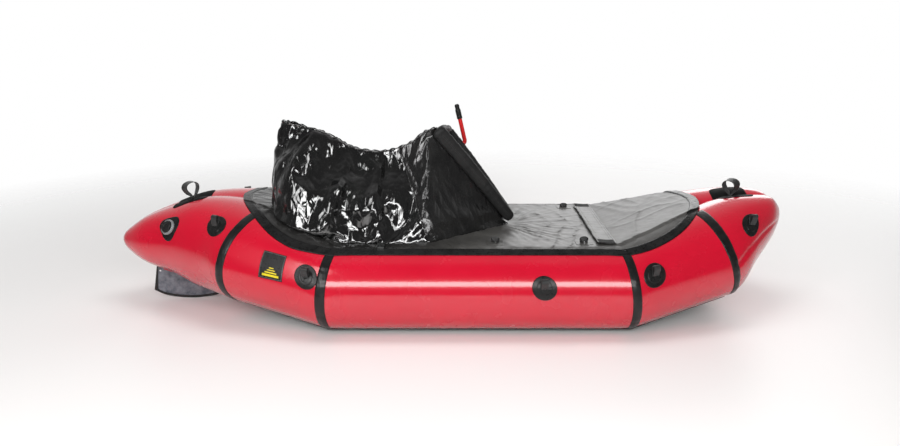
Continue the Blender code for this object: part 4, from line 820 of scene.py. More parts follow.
def smooth_run(places, count):
    """Points along a smooth curve through the places."""
    p = np.asarray(places, float)
    p = np.vstack([2 * p[0] - p[1], p, 2 * p[-1] - p[-2]])
    spots = np.linspace(0.0, len(places) - 1.0, count)
    k = np.minimum(spots.astype(int), len(places) - 2)
    t = (spots - k)[:, None]
    p0, p1, p2, p3 = p[k], p[k + 1], p[k + 2], p[k + 3]
    return 0.5 * (2 * p1 + (p2 - p0) * t + (2 * p0 - 5 * p1 + 4 * p2 - p3) * t ** 2
                  + (3 * p1 - p0 - 3 * p2 + p3) * t ** 3)


def plan(ends, half, shares, count):
    """A smooth outline in the plan, from shares of a length and a half width."""
    line = np.array([(ends[0] + (ends[1] - ends[0]) * a, half * b) for a, b in shares])
    return smooth_run(line, count)


# %% Deck cloth
def make_deck_cloth():
    """Grey coated cloth that turns black and glossy beside the opening and the stern."""
    made, tree, shader = start_finish("grey_deck_cloth", Specular_IOR_Level=1.0)
    where = tree.nodes.new("ShaderNodeTexCoord").outputs["Object"]
    apart = tree.nodes.new("ShaderNodeSeparateXYZ")
    tree.links.new(where, apart.inputs[0])
    fore = ramp(tree, sums(tree, "ADD", sums(tree, "ADD", apart.outputs["X"], 0.18),
                           sums(tree, "MULTIPLY", cloud(tree, 9.0), 0.08)), [(0.0, 0.0), (0.30, 1.0)])
    dust = ramp(tree, cloud(tree, 14.0, 6.0, 0.65), [(0.3, (0.040, 0.0385, 0.036)),
                                                     (0.7, (0.078, 0.075, 0.070))])
    black = add(tree, "ShaderNodeMix", data_type="RGBA", blend_type="MIX")
    tree.links.new(fore, black.inputs[0])
    black.inputs[6].default_value = (0.014, 0.0135, 0.013, 1.0)
    tree.links.new(dust, black.inputs[7])
    gloss = sums(tree, "MULTIPLY", cloud(tree, 40.0, 5.0, 0.6), 0.14)
    folds = bump(tree, cloud(tree, 45.0, 4.0, 0.6, (1.0, 0.45, 1.0)), 0.20, 0.002)
    dress(shader, Base_Color=black.outputs[2],
          Roughness=sums(tree, "ADD", gloss, sums(tree, "ADD", 0.16, sums(tree, "MULTIPLY", fore, 0.19))),
          Normal=bump(tree, weave(tree, 1500.0), 0.05, 0.0002, folds))
    return made


deck_cloth = make_deck_cloth()
DECK_COLUMNS = 340
DECK_ROWS = 44
CREASE_START = 0.15              # the fore deck's own creases begin here
FAN_X, FAN_TURN_X = 0.215, 0.19  # the fan of creases spreads from the foot of the brace
AFT_X = -0.30                    # the creases of the aft deck spread from here
CREASE_MARGIN = 0.030            # they fade out this near to the glued edge


def deck_creases(x, y, rim):
    """Height of the creases at places in the plan; rim is 0 on the glued edge."""
    fore = np.clip((x - CREASE_START) / 0.12, 0.0, 1.0)
    foot = np.hypot(x - FAN_X, y)
    turn = np.arctan2(y, x - FAN_TURN_X)
    fan = crests(turn * 13.0, foot * 4.0, 1) ** 3 * np.exp(-((foot - 0.12) / 0.17) ** 2) * 0.0030
    lean = x + 0.45 * np.abs(y)
    long_folds = crests(lean * 17.0 + 2.2 * hills(x * 3.0, y * 3.5, 2), y * 2.2, 3) ** 5 * 0.0022
    long_folds += crests(lean * 44.0 + 3.0 * hills(x * 5.0, y * 5.0, 9), y * 4.0 + x * 3.0, 10) ** 3 * 0.0008
    cross = crests(x * 6.0 - y * 13.0, y * 5.0 + x * 4.0, 4) ** 6 * 0.0018
    small = crests(x * 60.0, y * 40.0, 5) ** 3 * 0.0004
    side_folds = crests(x * 38.0 + y * 16.0, y * 9.0, 6) ** 2 * 0.0030
    turn_aft = np.arctan2(y, x - AFT_X)
    aft = crests(turn_aft * 17.0, np.hypot(x - AFT_X, y) * 7.0, 7) ** 2 * 0.0042
    stern = np.clip((AFT_X - x) / 0.15, 0.0, 1.0)
    height = fore * (fan + long_folds + cross) + (1.0 - fore) * (1.0 - stern) * side_folds + stern * aft + small
    return height * np.clip(rim / CREASE_MARGIN, 0.0, 1.0) ** 0.7


OPENING_COLUMNS = 160
MEETS_OPENING = [-0.716, 0.52]   # between these the edge's columns run to the opening's rim


def make_deck():
    """Both halves of the deck, from the glued edge to the opening, or to the middle line."""
    edge = plan(DECK_ENDS, DECK_HALF, DECK_EDGE, DECK_COLUMNS)
    opening = plan(OPENING_ENDS, OPENING_HALF, OPENING, OPENING_COLUMNS)
    opening[:, 1] = np.maximum(opening[:, 1], 0.0)
    inner = []
    first, last = np.searchsorted(edge[:, 0], MEETS_OPENING)
    for i in range(len(edge)):
        if i < first:
            share = i / first
            inner.append((edge[0, 0] + (opening[0, 0] - edge[0, 0]) * share, 0.0))
        elif i <= last:
            spot = (i - first) / (last - first) * (len(opening) - 1)
            inner.append([np.interp(spot, np.arange(len(opening)), opening[:, k]) for k in (0, 1)])
        else:
            share = (i - last) / (len(edge) - 1 - last)
            inner.append((opening[-1, 0] + (edge[-1, 0] - opening[-1, 0]) * share, 0.0))
    inner = np.array(inner)
    share = np.linspace(0.0, 1.0, DECK_ROWS)[None, :, None] ** 1.25
    flat = edge[:, None, :] * (1.0 - share) + inner[:, None, :] * share
    flat = flat.reshape(-1, 2)
    rim = np.linalg.norm(flat.reshape(len(edge), DECK_ROWS, 2) - edge[:, None, :], axis=-1).ravel()
    height = np.array([deck_height(x, y) for x, y in flat]) + DECK_LIFT
    points, faces = [], []
    for side in SIDES.values():
        start = len(points)
        lifted = height + deck_creases(flat[:, 0], flat[:, 1] * side, rim)
        points += np.column_stack([flat[:, 0], flat[:, 1] * side, lifted]).tolist()
        faces += [tuple(start + i for i in f) for f in grid(len(edge), DECK_ROWS)]
    made = piece("deck_sheet", points, faces, deck_cloth, np.array(points)[:, :2],
                 np.array(points) - (0.0, 0.0, 1.0))
    cleaned(made.data, join=0.00005, slivers=0.00005)
    if sum(p.normal.z for p in made.data.polygons) < 0:
        made.data.flip_normals()
    return made


deck_sheet = make_deck()
thicken(deck_sheet, CLOTH_WALL)
placed(deck_sheet, "hull", "deck")

# %% [markdown]
# ## The band round the deck
# A wide black tape seals the deck's edge to the hull. It is glossy, lies over both, and
# bulges a little where the folded edge of the cloth is under it.

# %% Deck edge band
BAND_ROWS = 13


def make_edge_band():
    """The tape over the deck's edge, partly on the deck and partly on the hull."""
    edge = plan(DECK_ENDS, DECK_HALF, DECK_EDGE, 420)
    run = np.gradient(edge, axis=0)
    run[0], run[-1] = (0.0, 1.0), (0.0, -1.0)
    run /= np.linalg.norm(run, axis=1, keepdims=True)
    away = np.column_stack([-run[:, 1], run[:, 0]])
    rows = []
    for k, off in enumerate(np.linspace(-0.011, 0.0235, BAND_ROWS)):
        line = edge + away * off
        line[:, 1] = np.maximum(line[:, 1], 0.0)
        bulge = 0.0016 * math.exp(-((off - 0.001) / 0.007) ** 2)
        press = 0.0012 * (1.0 - abs(2.0 * k / 12.0 - 1.0) ** 6)
        base = [deck_height(x, y) for x, y in line]
        over = DECK_LIFT + 0.0010 if off < 0.0 else DECK_LIFT * 0.75
        creases = 0.0007 * crests(np.arange(len(line)) * 0.31, np.full(len(line), k * 0.4), 8)
        rows.append(np.column_stack([line, np.array(base) + over + bulge + press + creases * (press > 0.0003)]))
    rows = np.array(rows)
    loop = np.concatenate([on_side(rows, -1.0), rows[:, -2:0:-1]], axis=1)
    count = loop.shape[1]
    flat = chart(np.linspace(0, 0.034, BAND_ROWS), np.arange(count) * 0.0055)
    made = piece("deck_edge_band", loop, grid(BAND_ROWS, count, True), band_tape, flat, loop - (0.0, 0.0, 1.0))
    return placed(thicken(made, 0.0010), "hull", "deck_edge_tape")


edge_band = make_edge_band()
print("band:  ", [round(v, 3) for v in edge_band.dimensions], "m")

# %% [markdown]
# ## Laying things along a path
# Sleeves, tubes and rims are sections carried along a path. The frames are turned as little
# as possible from one point to the next, so that nothing twists, and the section can be
# round or flattened, and swell or narrow on its way.

# %% Swept pieces
def frames_along(line, hint=(0.0, 0.0, 1.0)):
    """Two directions across a path that don't twist along it."""
    line = np.asarray(line, float)
    run = np.gradient(line, axis=0)
    run /= np.linalg.norm(run, axis=1, keepdims=True)
    first = np.asarray(hint, float) - run[0] * np.dot(run[0], hint)
    ups = [first / np.linalg.norm(first)]
    for r in run[1:]:
        up = ups[-1] - r * np.dot(r, ups[-1])
        ups.append(up / np.linalg.norm(up))
    ups = np.array(ups)
    return ups, np.cross(run, ups)


def swept(line, wide, deep, sides, hint=(0.0, 0.0, 1.0), power=2.0):
    """Points, faces and flat places of a section carried along a path.

    wide and deep are half sizes, one for all or one for each point; power above 2 squares
    the section."""
    line = np.asarray(line, float)
    ups, across = frames_along(line, hint)
    turn = np.linspace(0.0, 2.0 * math.pi, sides, endpoint=False)
    c, s = np.cos(turn), np.sin(turn)
    c, s = np.sign(c) * np.abs(c) ** (2.0 / power), np.sign(s) * np.abs(s) ** (2.0 / power)
    wide, deep = (np.broadcast_to(np.asarray(v, float), len(line)) for v in (wide, deep))
    points = (line[:, None, :] + across[:, None, :] * (wide[:, None] * c)[..., None]
              + ups[:, None, :] * (deep[:, None] * s)[..., None])
    along = np.concatenate([[0.0], np.cumsum(np.linalg.norm(np.diff(line, axis=0), axis=1))])
    flat = chart(along, turn / (2 * math.pi) * 4 * float(wide.max()))
    faces = grid(len(line), sides, True)
    faces.append(tuple(range(sides - 1, -1, -1)))
    faces.append(tuple(range((len(line) - 1) * sides, len(line) * sides)))
    middle = np.broadcast_to(line[:, None, :], points.shape)
    return points.reshape(-1, 3), faces, flat.reshape(-1, 2), middle.reshape(-1, 3)


def swept_piece(name, finish, *args, **kwargs):
    """A piece made by swept."""
    points, faces, flat, middle = swept(*args, **kwargs)
    return piece(name, points, faces, finish, flat, middle)


# %% [markdown]
# ## Black cloths of the hood
# The tunnel's rear is thin, stiff cloth with a wet-looking coating: nearly black, with hard
# bright reflections on every crease. Its sides, and the sleeves of the brace, are duller
# cloth. Both are one network with other numbers, so that they look like one family.

# %% Hood finishes
def make_hood_cloth(name, dark, pale, low, high, crinkle, level, index=1.5):
    made, tree, shader = start_finish(name, Specular_IOR_Level=level, IOR=index)
    colour = ramp(tree, cloud(tree, 12.0, 5.0, 0.6), [(0.3, (dark, dark, dark * 1.03)),
                                                      (0.75, (pale, pale * 0.98, pale * 0.96))])
    folds = bump(tree, cloud(tree, 14.0, 2.0, 0.4, (1.0, 1.0, 0.4)), crinkle, 0.006)
    taller = add(tree, "ShaderNodeMapping", scale=(1.0, 1.0, 0.42), rotation=(0.0, 0.22, 0.0))
    tree.links.new(tree.nodes.new("ShaderNodeTexCoord").outputs["Object"], taller.inputs["Vector"])
    for scale, depth in ((15.0, 0.0150), (38.0, 0.0040)):
        sides = add(tree, "ShaderNodeTexVoronoi", feature="DISTANCE_TO_EDGE", scale=scale)
        tree.links.new(taller.outputs["Vector"], sides.inputs["Vector"])
        folds = bump(tree, sides.outputs["Distance"], crinkle, depth, folds)
    dress(shader, Base_Color=colour,
          Roughness=ramp(tree, cloud(tree, 35.0, 5.0, 0.6), [(0.3, low), (0.75, high)]),
          Normal=bump(tree, weave(tree, 1500.0), 0.04, 0.0002, folds))
    return made


glossy_cloth = make_hood_cloth("black_glossy_cloth", 0.004, 0.008, 0.09, 0.17, 0.70, 0.5, 2.2)
dull_cloth = make_hood_cloth("black_dull_cloth", 0.008, 0.018, 0.15, 0.26, 0.80, 0.80)
lining_cloth = make_hood_cloth("black_lining_cloth", 0.007, 0.014, 0.50, 0.65, 0.25, 0.15)
sleeve_cloth = make_hood_cloth("black_sleeve_cloth", 0.012, 0.022, 0.45, 0.62, 0.12, 0.25)

# %% [markdown]
# ## The skirt tunnel
# The tunnel stands on the deck round the opening and narrows to an elastic rim at the
# paddler's waist. Loose cloth held only at its foot and rim buckles into crossing folds
# that are hard to draw by hand, so they begin as a cloth simulation: the sheet starts as a
# plain billowed sock, its cloth is made a twentieth too large, and its foot and rim are
# pinned. The side panels are cut closer, so they stay smoother. Tall folds and stiff
# creases from formulas are then added to what the simulation gives.

# %% Tunnel outline
FOOT_FLARE = 0.010
RIM = [(0.034, 0.000, 1.042), (0.041, 0.169, 1.045), (0.096, 0.287, 1.036), (0.229, 0.316, 0.994),
       (0.355, 0.301, 0.913), (0.482, 0.301, 0.895), (0.590, 0.346, 0.938), (0.663, 0.397, 1.008)]
FOOT = [(0.000, 0.00), (0.004, 0.42), (0.040, 0.80), (0.165, 1.00), (0.330, 1.00), (0.490, 1.00), (0.600, 1.00),
        (0.690, 0.96)]
BRACE_HEIGHT = 0.664
PORT_DROP = 0.038                # the port side of the rim is lower
BRACE_FOOT = np.array([0.232, 0.0, 0.3181])
BRACE_TOP = {"starboard": np.array([-0.036, -0.118, 0.664]), "port": np.array([-0.006, 0.118, 0.628])}
SIDE_COLUMNS, CORNER_COLUMNS, FRONT_COLUMNS = 92, 22, 8


def opening_place(along, off, z=0.0):
    """A place from its shares of the opening's length and half width."""
    return np.array([OPENING_ENDS[0] + (OPENING_ENDS[1] - OPENING_ENDS[0]) * along, OPENING_HALF * off, z])


def tunnel_lines(word):
    """Foot and rim of one side of the tunnel, from the stern round to the middle of its front."""
    side = SIDES[word]
    foot = []
    for along, off in FOOT:
        out = np.array([along - 0.5, off, 0.0])
        foot.append(opening_place(along, off) + out / np.linalg.norm(out) * FOOT_FLARE)
    foot[0][1] = 0.0
    rim = [opening_place(along, off, BRACE_HEIGHT * up) for along, off, up in RIM]
    if word == "port":
        for place, (along, _, _) in zip(rim, RIM):
            place[2] -= PORT_DROP * min(1.0, along / 0.16)
    feet, rims = smooth_run(foot, SIDE_COLUMNS), smooth_run(rim, SIDE_COLUMNS)
    top = BRACE_TOP[word] * (1.0, side, 1.0)
    for foot_end, rim_end, columns in (
            (np.array([0.222, 0.004, 0.0]), top + (-0.020, -0.006, 0.018), CORNER_COLUMNS),
            (np.array([0.224, 0.0, 0.0]), np.array([-0.040, 0.0, 0.652]), FRONT_COLUMNS)):
        t = np.linspace(0.0, 1.0, columns + 1)[1:, None]
        feet = np.vstack([feet, feet[-1] * (1 - t) + foot_end * t])
        rims = np.vstack([rims, rims[-1] * (1 - t) + rim_end * t])
    return on_side(feet, side), on_side(rims, side)


TUNNEL_ROWS = 48
STERN_LIMIT = -0.650
starboard_feet, starboard_rims = tunnel_lines("starboard")
port_feet, port_rims = tunnel_lines("port")
feet = np.vstack([starboard_feet, port_feet[-2:0:-1]])
rims = np.vstack([starboard_rims, port_rims[-2:0:-1]])
print("tunnel:", len(feet), "columns round it")

# %% Tunnel cloth
def facets(u, v, seed=0):
    """Noise with flat sides and straight creases, as crumpled stiff cloth has, from 0 to 1."""
    u, v = np.asarray(u, float) + 13.7 * seed, np.asarray(v, float) + 5.3 * seed
    i, j = np.floor(u).astype(int), np.floor(v).astype(int)
    s, t = u - i, v - j
    a, b = fold_table[i % 64, j % 64], fold_table[(i + 1) % 64, (j + 1) % 64]
    c = np.where(s > t, fold_table[(i + 1) % 64, j % 64], fold_table[i % 64, (j + 1) % 64])
    return a + np.maximum(s, t) * (c - a) + np.minimum(s, t) * (b - c)


def soften(values, times):
    """Even out a closed run of values."""
    for _ in range(times):
        values = 0.5 * values + 0.25 * (np.roll(values, 1, axis=0) + np.roll(values, -1, axis=0))
    return values


FOOT_LIFT = 0.0012


def tunnel_points():
    """The plain sock, how far round each column is from the stern, and the way out of it."""
    count = len(feet)
    share = np.linspace(0.0, 1.0, TUNNEL_ROWS)[:, None, None]
    base = feet.copy()
    base[:, 2] = [deck_height(x, abs(y)) + DECK_LIFT + FOOT_LIFT for x, y, _ in feet]
    base = soften(base, 3)
    top = soften(rims, 3)
    points = base[None] * (1 - share) + top[None] * share
    along = np.minimum(np.arange(count), count - np.arange(count)) / (count / 2)
    loose = np.clip(1.0 - along / 0.72, 0.0, 1.0) ** 0.5
    swell = 4.0 * share * (1.0 - share)
    hub = points.copy()
    hub[..., 0] = top[None, :, 0] * 0.6 - 0.150
    hub[..., 1] = 0.0
    out = points - hub
    out[..., 2] = 0.0
    out /= np.maximum(np.linalg.norm(out, axis=-1, keepdims=True), 1e-6)
    columns = np.arange(count)[None, :, None]
    lumps = (hills(columns * 0.12 + share * 1.2, share * 1.6 + 0.0 * columns, 3) - 0.5) * 0.030
    points = points + out * (loose[None, :, None] * swell * (0.020 + lumps))
    return points, along, out


FLAT_HEIGHT = 0.36               # metres of cloth from foot to rim, for the finish alone
tunnel_start, tunnel_along, tunnel_out = tunnel_points()
count = len(feet)
lengths = np.concatenate([[0.0], np.cumsum(np.linalg.norm(np.diff(feet, axis=0), axis=1))])
flat = chart(np.linspace(0.0, FLAT_HEIGHT, TUNNEL_ROWS), lengths)[..., ::-1]
tunnel = piece("skirt_tunnel_cloth", tunnel_start, grid(TUNNEL_ROWS, count, True), glossy_cloth, flat,
               tunnel_start - tunnel_out)

# %% Fold simulation
def simulated(made, modifier, frames):
    """Run a piece's simulation, take it off again, and return where its points ended up."""
    for number in range(1, frames + 1):
        scene.frame_set(number)
    deps = bpy.context.evaluated_depsgraph_get()
    moved = np.array([v.co for v in made.evaluated_get(deps).data.vertices])
    made.modifiers.remove(modifier)
    scene.frame_set(1)
    return moved


def simulate_folds(made, pinned, tight, frames, spare, spare_tight, cap):
    """Let a sheet with spare cloth buckle between its pinned points, and keep the result."""
    rest = points_of(made)
    hold = made.vertex_groups.new(name="held")
    for weight in np.unique(np.round(pinned, 2)):
        members = np.nonzero(np.round(pinned, 2) == weight)[0].tolist()
        if weight > 0.0:
            hold.add(members, float(weight), "REPLACE")
    snug = made.vertex_groups.new(name="tight")
    for weight in np.unique(np.round(tight, 1)):
        snug.add(np.nonzero(np.round(tight, 1) == weight)[0].tolist(), float(weight), "REPLACE")
    cloth = made.modifiers.new("folds", "CLOTH")
    c = cloth.settings
    c.quality = 7
    c.mass = 0.12
    c.tension_stiffness = c.compression_stiffness = 30.0
    c.shear_stiffness = 12.0
    c.bending_stiffness = 6.0
    c.tension_damping = c.compression_damping = 12.0
    c.air_damping = 3.0
    c.vertex_group_mass = "held"
    c.vertex_group_shrink = "tight"
    c.shrink_min = -spare
    c.shrink_max = -spare_tight
    c.effector_weights.gravity = 0.04
    cloth.collision_settings.use_collision = False
    shift = simulated(made, cloth, frames) - rest
    made.vertex_groups.clear()
    reach = np.linalg.norm(shift, axis=1, keepdims=True)
    shift *= np.minimum(1.0, cap / np.maximum(reach, 1e-9))
    set_points(made, rest + shift)
    return float(reach.max())


rows = np.repeat(np.arange(TUNNEL_ROWS), count)
columns = np.tile(np.arange(count), TUNNEL_ROWS)
along = tunnel_along[columns]
pinned = np.where((rows == 0) | (rows == TUNNEL_ROWS - 1), 1.0, 0.0)
tight = np.clip((along - 0.50) / 0.16, 0.0, 1.0)
FOLD_FRAMES, SPARE, SPARE_TIGHT, FOLD_CAP = 20, 0.05, 0.01, 0.018
far = simulate_folds(tunnel, pinned, tight, FOLD_FRAMES, SPARE, SPARE_TIGHT, FOLD_CAP)
print("tunnel: folds move up to", round(far * 1000), "mm")


# Where each tall fold stands along the boat, how far it leans by the rim, and its height.
TALL_FOLDS = [(-0.545, 0.075, 0.030), (-0.445, 0.090, 0.050), (-0.340, 0.050, 0.040), (-0.255, -0.010, 0.052)]


def crumple(made):
    """Tall folds, flat-sided creases between them, and small gathers at the rim and the foot."""
    co = points_of(made)
    share = rows / (TUNNEL_ROWS - 1.0)
    wander = hills(columns * 0.09, share * 1.7, 12) * 1.6
    large = facets(columns * 0.15 + share * 0.9 + wander, share * 2.1 + 0.5 * wander, 13) - 0.5
    small = facets(columns * 0.34 - share * 2.1 + wander, share * 4.6 - wander, 14) - 0.5
    gathers = crests(columns * 0.46, share * 2.0, 15) * (np.exp(-(1.0 - share) / 0.07) + np.exp(-share / 0.08))
    ends = np.clip(np.minimum(share, 1.0 - share) / 0.16, 0.0, 1.0)
    free = np.clip(1.0 - along / 0.66, 0.0, 1.0) ** 0.45
    tall = 0.0
    for place, lean, height in TALL_FOLDS:
        aside = co[:, 0] - place - lean * share - 0.022 * (wander - 0.8)
        tall = np.maximum(tall, height * np.interp(aside, [-0.070, 0.0, 0.034], [0.0, 1.0, 0.0]))
    held = np.clip(np.minimum(share, 1 - share) / 0.02, 0, 1)
    push = free ** 0.6 * ends * (tall - 0.012) + free * (ends * (0.030 * large + 0.016 * small)
                                                         + 0.006 * gathers * held)
    co = co + tunnel_out.reshape(-1, 3) * push[:, None]
    co[:, 0] += 0.8 * np.maximum(STERN_LIMIT - co[:, 0], 0.0)
    set_points(made, co)


crumple(tunnel)
placed(tunnel, None, "skirt_tunnel")

# %% [markdown]
# ## Panels of the tunnel
# Behind a sewn line the tunnel is glossy cloth, before it the side panels are duller. The
# line slants forward from the rim to the deck. The faces of the one sheet are shared out to
# the two cloths by that line.

# %% Two cloths on one sheet
PANEL_TOP_X, PANEL_SLOPE = -0.188, 0.36


def panel_line(z):
    """How far fore the line between glossy and dull cloth is, at a height."""
    return PANEL_TOP_X + (0.62 - z) * PANEL_SLOPE


tunnel.data.materials.append(dull_cloth)
for face in tunnel.data.polygons:
    if face.center.x > panel_line(face.center.z):
        face.material_index = 1
for _ in range(2):
    tunnel.data.materials.append(lining_cloth)
thicken(tunnel, CLOTH_WALL).modifiers["thickness"].material_offset = 2
rounded(tunnel, 1)

# %% [markdown]
# ## Rows of stitches
# A stitch is a short thread lying on the cloth, and a seam is many of them along a line. One
# node tree makes any seam: it takes a line of points, spaces copies of a small rounded
# thread along it and turns each one to the line's direction. Its sizes are named inputs.

# %% Stitch tree
def make_stitch_tree():
    tree = bpy.data.node_groups.new("row_of_stitches", "GeometryNodeTree")
    faces = tree.interface
    faces.new_socket("Line", in_out="INPUT", socket_type="NodeSocketGeometry")
    for name, value in (("Spacing", 0.004), ("Length", 0.0026), ("Thread", 0.0005)):
        faces.new_socket(name, in_out="INPUT", socket_type="NodeSocketFloat").default_value = value
    faces.new_socket("Finish", in_out="INPUT", socket_type="NodeSocketMaterial")
    faces.new_socket("Stitches", in_out="OUTPUT", socket_type="NodeSocketGeometry")
    n, link = tree.nodes, tree.links.new
    start, end = n.new("NodeGroupInput"), n.new("NodeGroupOutput")
    line = n.new("GeometryNodeMeshToCurve")
    link(start.outputs["Line"], line.inputs["Mesh"])
    even = n.new("GeometryNodeResampleCurve")
    even.mode = "LENGTH"
    link(line.outputs["Curve"], even.inputs["Curve"])
    link(start.outputs["Spacing"], even.inputs["Length"])
    thread = n.new("GeometryNodeMeshIcoSphere")
    thread.inputs["Radius"].default_value = 0.5
    thread.inputs["Subdivisions"].default_value = 1
    turn = n.new("FunctionNodeAlignRotationToVector")
    turn.axis = "X"
    link(n.new("GeometryNodeInputTangent").outputs["Tangent"], turn.inputs["Vector"])
    shape = n.new("ShaderNodeCombineXYZ")
    for key, socket in (("X", "Length"), ("Y", "Thread"), ("Z", "Thread")):
        link(start.outputs[socket], shape.inputs[key])
    copies = n.new("GeometryNodeInstanceOnPoints")
    link(even.outputs["Curve"], copies.inputs["Points"])
    link(thread.outputs["Mesh"], copies.inputs["Instance"])
    link(turn.outputs["Rotation"], copies.inputs["Rotation"])
    link(shape.outputs["Vector"], copies.inputs["Scale"])
    real = n.new("GeometryNodeRealizeInstances")
    link(copies.outputs["Instances"], real.inputs[0])
    finish = n.new("GeometryNodeSetMaterial")
    link(real.outputs[0], finish.inputs["Geometry"])
    link(start.outputs["Finish"], finish.inputs["Material"])
    link(finish.outputs["Geometry"], end.inputs["Stitches"])
    return tree


stitch_tree = make_stitch_tree()


def make_thread():
    made, tree, shader = start_finish("black_thread", Roughness=0.55, Sheen_Weight=0.3, Sheen_Roughness=0.4)
    dress(shader, Base_Color=ramp(tree, cloud(tree, 160.0, 2.0), [(0.3, 0.030), (0.7, 0.085)]),
          Normal=bump(tree, cloud(tree, 900.0, 1.0), 0.4, 0.0002))
    return made


black_thread = make_thread()


def run_tree(made, tree, values):
    """Run a node tree on an object and keep the result as plain mesh."""
    nodes = made.modifiers.new("nodes", "NODES")
    nodes.node_group = tree
    for item in tree.interface.items_tree:
        if item.item_type == "SOCKET" and item.in_out == "INPUT" and item.name in values:
            nodes[item.identifier] = values[item.name]
    made.update_tag()
    bpy.context.view_layer.update()
    return applied(made)


def stitched(name, lines, body, spacing=0.0045, length=0.0030, thread=0.0007):
    """Stitches along several lines of points, as one piece."""
    points, edges = [], []
    for line in lines:
        start = len(points)
        points += [tuple(p) for p in line]
        edges += [(start + i, start + i + 1) for i in range(len(line) - 1)]
    mesh = bpy.data.meshes.new(name)
    mesh.from_pydata(points, edges, [])
    made = linked(name, mesh)
    run_tree(made, stitch_tree, {"Spacing": spacing, "Length": length, "Thread": thread,
                                 "Finish": black_thread})
    shade_smooth(made)
    return placed(made, body)


# %% Sewn line between the cloths
tunnel_tree = ray_tree(tunnel)


def on_tunnel(x, z, side):
    """Where a ray from one side meets the tunnel, or None."""
    return tunnel_tree.ray_cast(Vector((x, side, z)), Vector((0.0, -side, 0.0)))[0]


seam_lines = []
for side in SIDES.values():
    line = [on_tunnel(panel_line(z), z, side) for z in np.linspace(0.322, 0.585, 90)]
    line = np.array([tuple(p) for p in line if p])
    seam_lines.append(line + (0.0, side * 0.0010, 0.0))
welts = []
for side, line in zip(SIDES.values(), seam_lines):
    name = f"skirt_seam_{'port' if side > 0 else 'starboard'}"
    welt = swept_piece(name, dull_cloth, line, 0.0042, 0.0011, 12, (0.0, side, 0.2), 3.0)
    welts.append(placed(welt, None))
lines = [line + (dx, side * 0.0013, 0.0) for side, line in zip(SIDES.values(), seam_lines)
         for dx in (-0.0022, 0.0022)]
welt_stitches = stitched("skirt_seam_stitches", lines, None)

# %% [markdown]
# ## The gathered rim
# The rim is a hem that gathers the cloth into small ruffles. An elastic presumably lies in
# it, but it can't be seen and isn't made. The ruffles repeat along a line, so a node tree
# makes them: a tube along the rim, pushed out and in by a wave that counts the gathers, with
# a little seeded noise so no two are alike.

# %% Ruffle tree
def make_ruffle_tree():
    tree = bpy.data.node_groups.new("gathered_rim", "GeometryNodeTree")
    faces = tree.interface
    faces.new_socket("Line", in_out="INPUT", socket_type="NodeSocketGeometry")
    for name, value in (("Hem", 0.0065), ("Gathers", 90.0), ("Depth", 0.003)):
        faces.new_socket(name, in_out="INPUT", socket_type="NodeSocketFloat").default_value = value
    faces.new_socket("Seed", in_out="INPUT", socket_type="NodeSocketFloat").default_value = 3.0
    faces.new_socket("Finish", in_out="INPUT", socket_type="NodeSocketMaterial")
    faces.new_socket("Rim", in_out="OUTPUT", socket_type="NodeSocketGeometry")
    n, link = tree.nodes, tree.links.new

    def maths(operation, *values):
        made = n.new("ShaderNodeMath")
        made.operation = operation
        for socket, value in zip(made.inputs, values):
            if isinstance(value, bpy.types.NodeSocket):
                link(value, socket)
            else:
                socket.default_value = value
        return made.outputs[0]

    start, end = n.new("NodeGroupInput"), n.new("NodeGroupOutput")
    line = n.new("GeometryNodeMeshToCurve")
    link(start.outputs["Line"], line.inputs["Mesh"])
    even = n.new("GeometryNodeResampleCurve")
    even.inputs["Count"].default_value = 900
    link(line.outputs["Curve"], even.inputs["Curve"])
    keep = n.new("GeometryNodeStoreNamedAttribute")
    keep.data_type = "FLOAT"
    keep.inputs["Name"].default_value = "round_the_rim"
    link(even.outputs["Curve"], keep.inputs["Geometry"])
    link(n.new("GeometryNodeSplineParameter").outputs["Factor"], keep.inputs["Value"])
    section = n.new("GeometryNodeCurvePrimitiveCircle")
    section.inputs["Resolution"].default_value = 14
    link(start.outputs["Hem"], section.inputs["Radius"])
    tube = n.new("GeometryNodeCurveToMesh")
    link(keep.outputs["Geometry"], tube.inputs["Curve"])
    link(section.outputs["Curve"], tube.inputs["Profile Curve"])
    spot = n.new("GeometryNodeInputNamedAttribute")
    spot.data_type = "FLOAT"
    spot.inputs["Name"].default_value = "round_the_rim"
    uneven = n.new("ShaderNodeTexNoise")
    uneven.noise_dimensions = "4D"
    uneven.inputs["Scale"].default_value = 22.0
    link(start.outputs["Seed"], uneven.inputs["W"])
    phase = maths("MULTIPLY", spot.outputs["Attribute"], start.outputs["Gathers"])
    phase = maths("ADD", maths("MULTIPLY", phase, 2.0 * math.pi), maths("MULTIPLY", uneven.outputs["Fac"], 9.0))
    push = maths("MULTIPLY", maths("SINE", phase), start.outputs["Depth"])
    push = maths("MULTIPLY", push, maths("ADD", uneven.outputs["Fac"], 0.35))
    away = n.new("ShaderNodeVectorMath")
    away.operation = "SCALE"
    link(n.new("GeometryNodeInputNormal").outputs[0], away.inputs[0])
    link(push, away.inputs["Scale"])
    move = n.new("GeometryNodeSetPosition")
    link(tube.outputs["Mesh"], move.inputs["Geometry"])
    link(away.outputs["Vector"], move.inputs["Offset"])
    smooth = n.new("GeometryNodeSetShadeSmooth")
    link(move.outputs["Geometry"], smooth.inputs["Geometry"])
    real = n.new("GeometryNodeRealizeInstances")
    link(smooth.outputs["Geometry"], real.inputs[0])
    finish = n.new("GeometryNodeSetMaterial")
    link(real.outputs[0], finish.inputs["Geometry"])
    link(start.outputs["Finish"], finish.inputs["Material"])
    link(finish.outputs["Geometry"], end.inputs["Rim"])
    return tree


ruffle_tree = make_ruffle_tree()

# %% Rim
tunnel_rest = points_of(tunnel).reshape(TUNNEL_ROWS, count, 3)


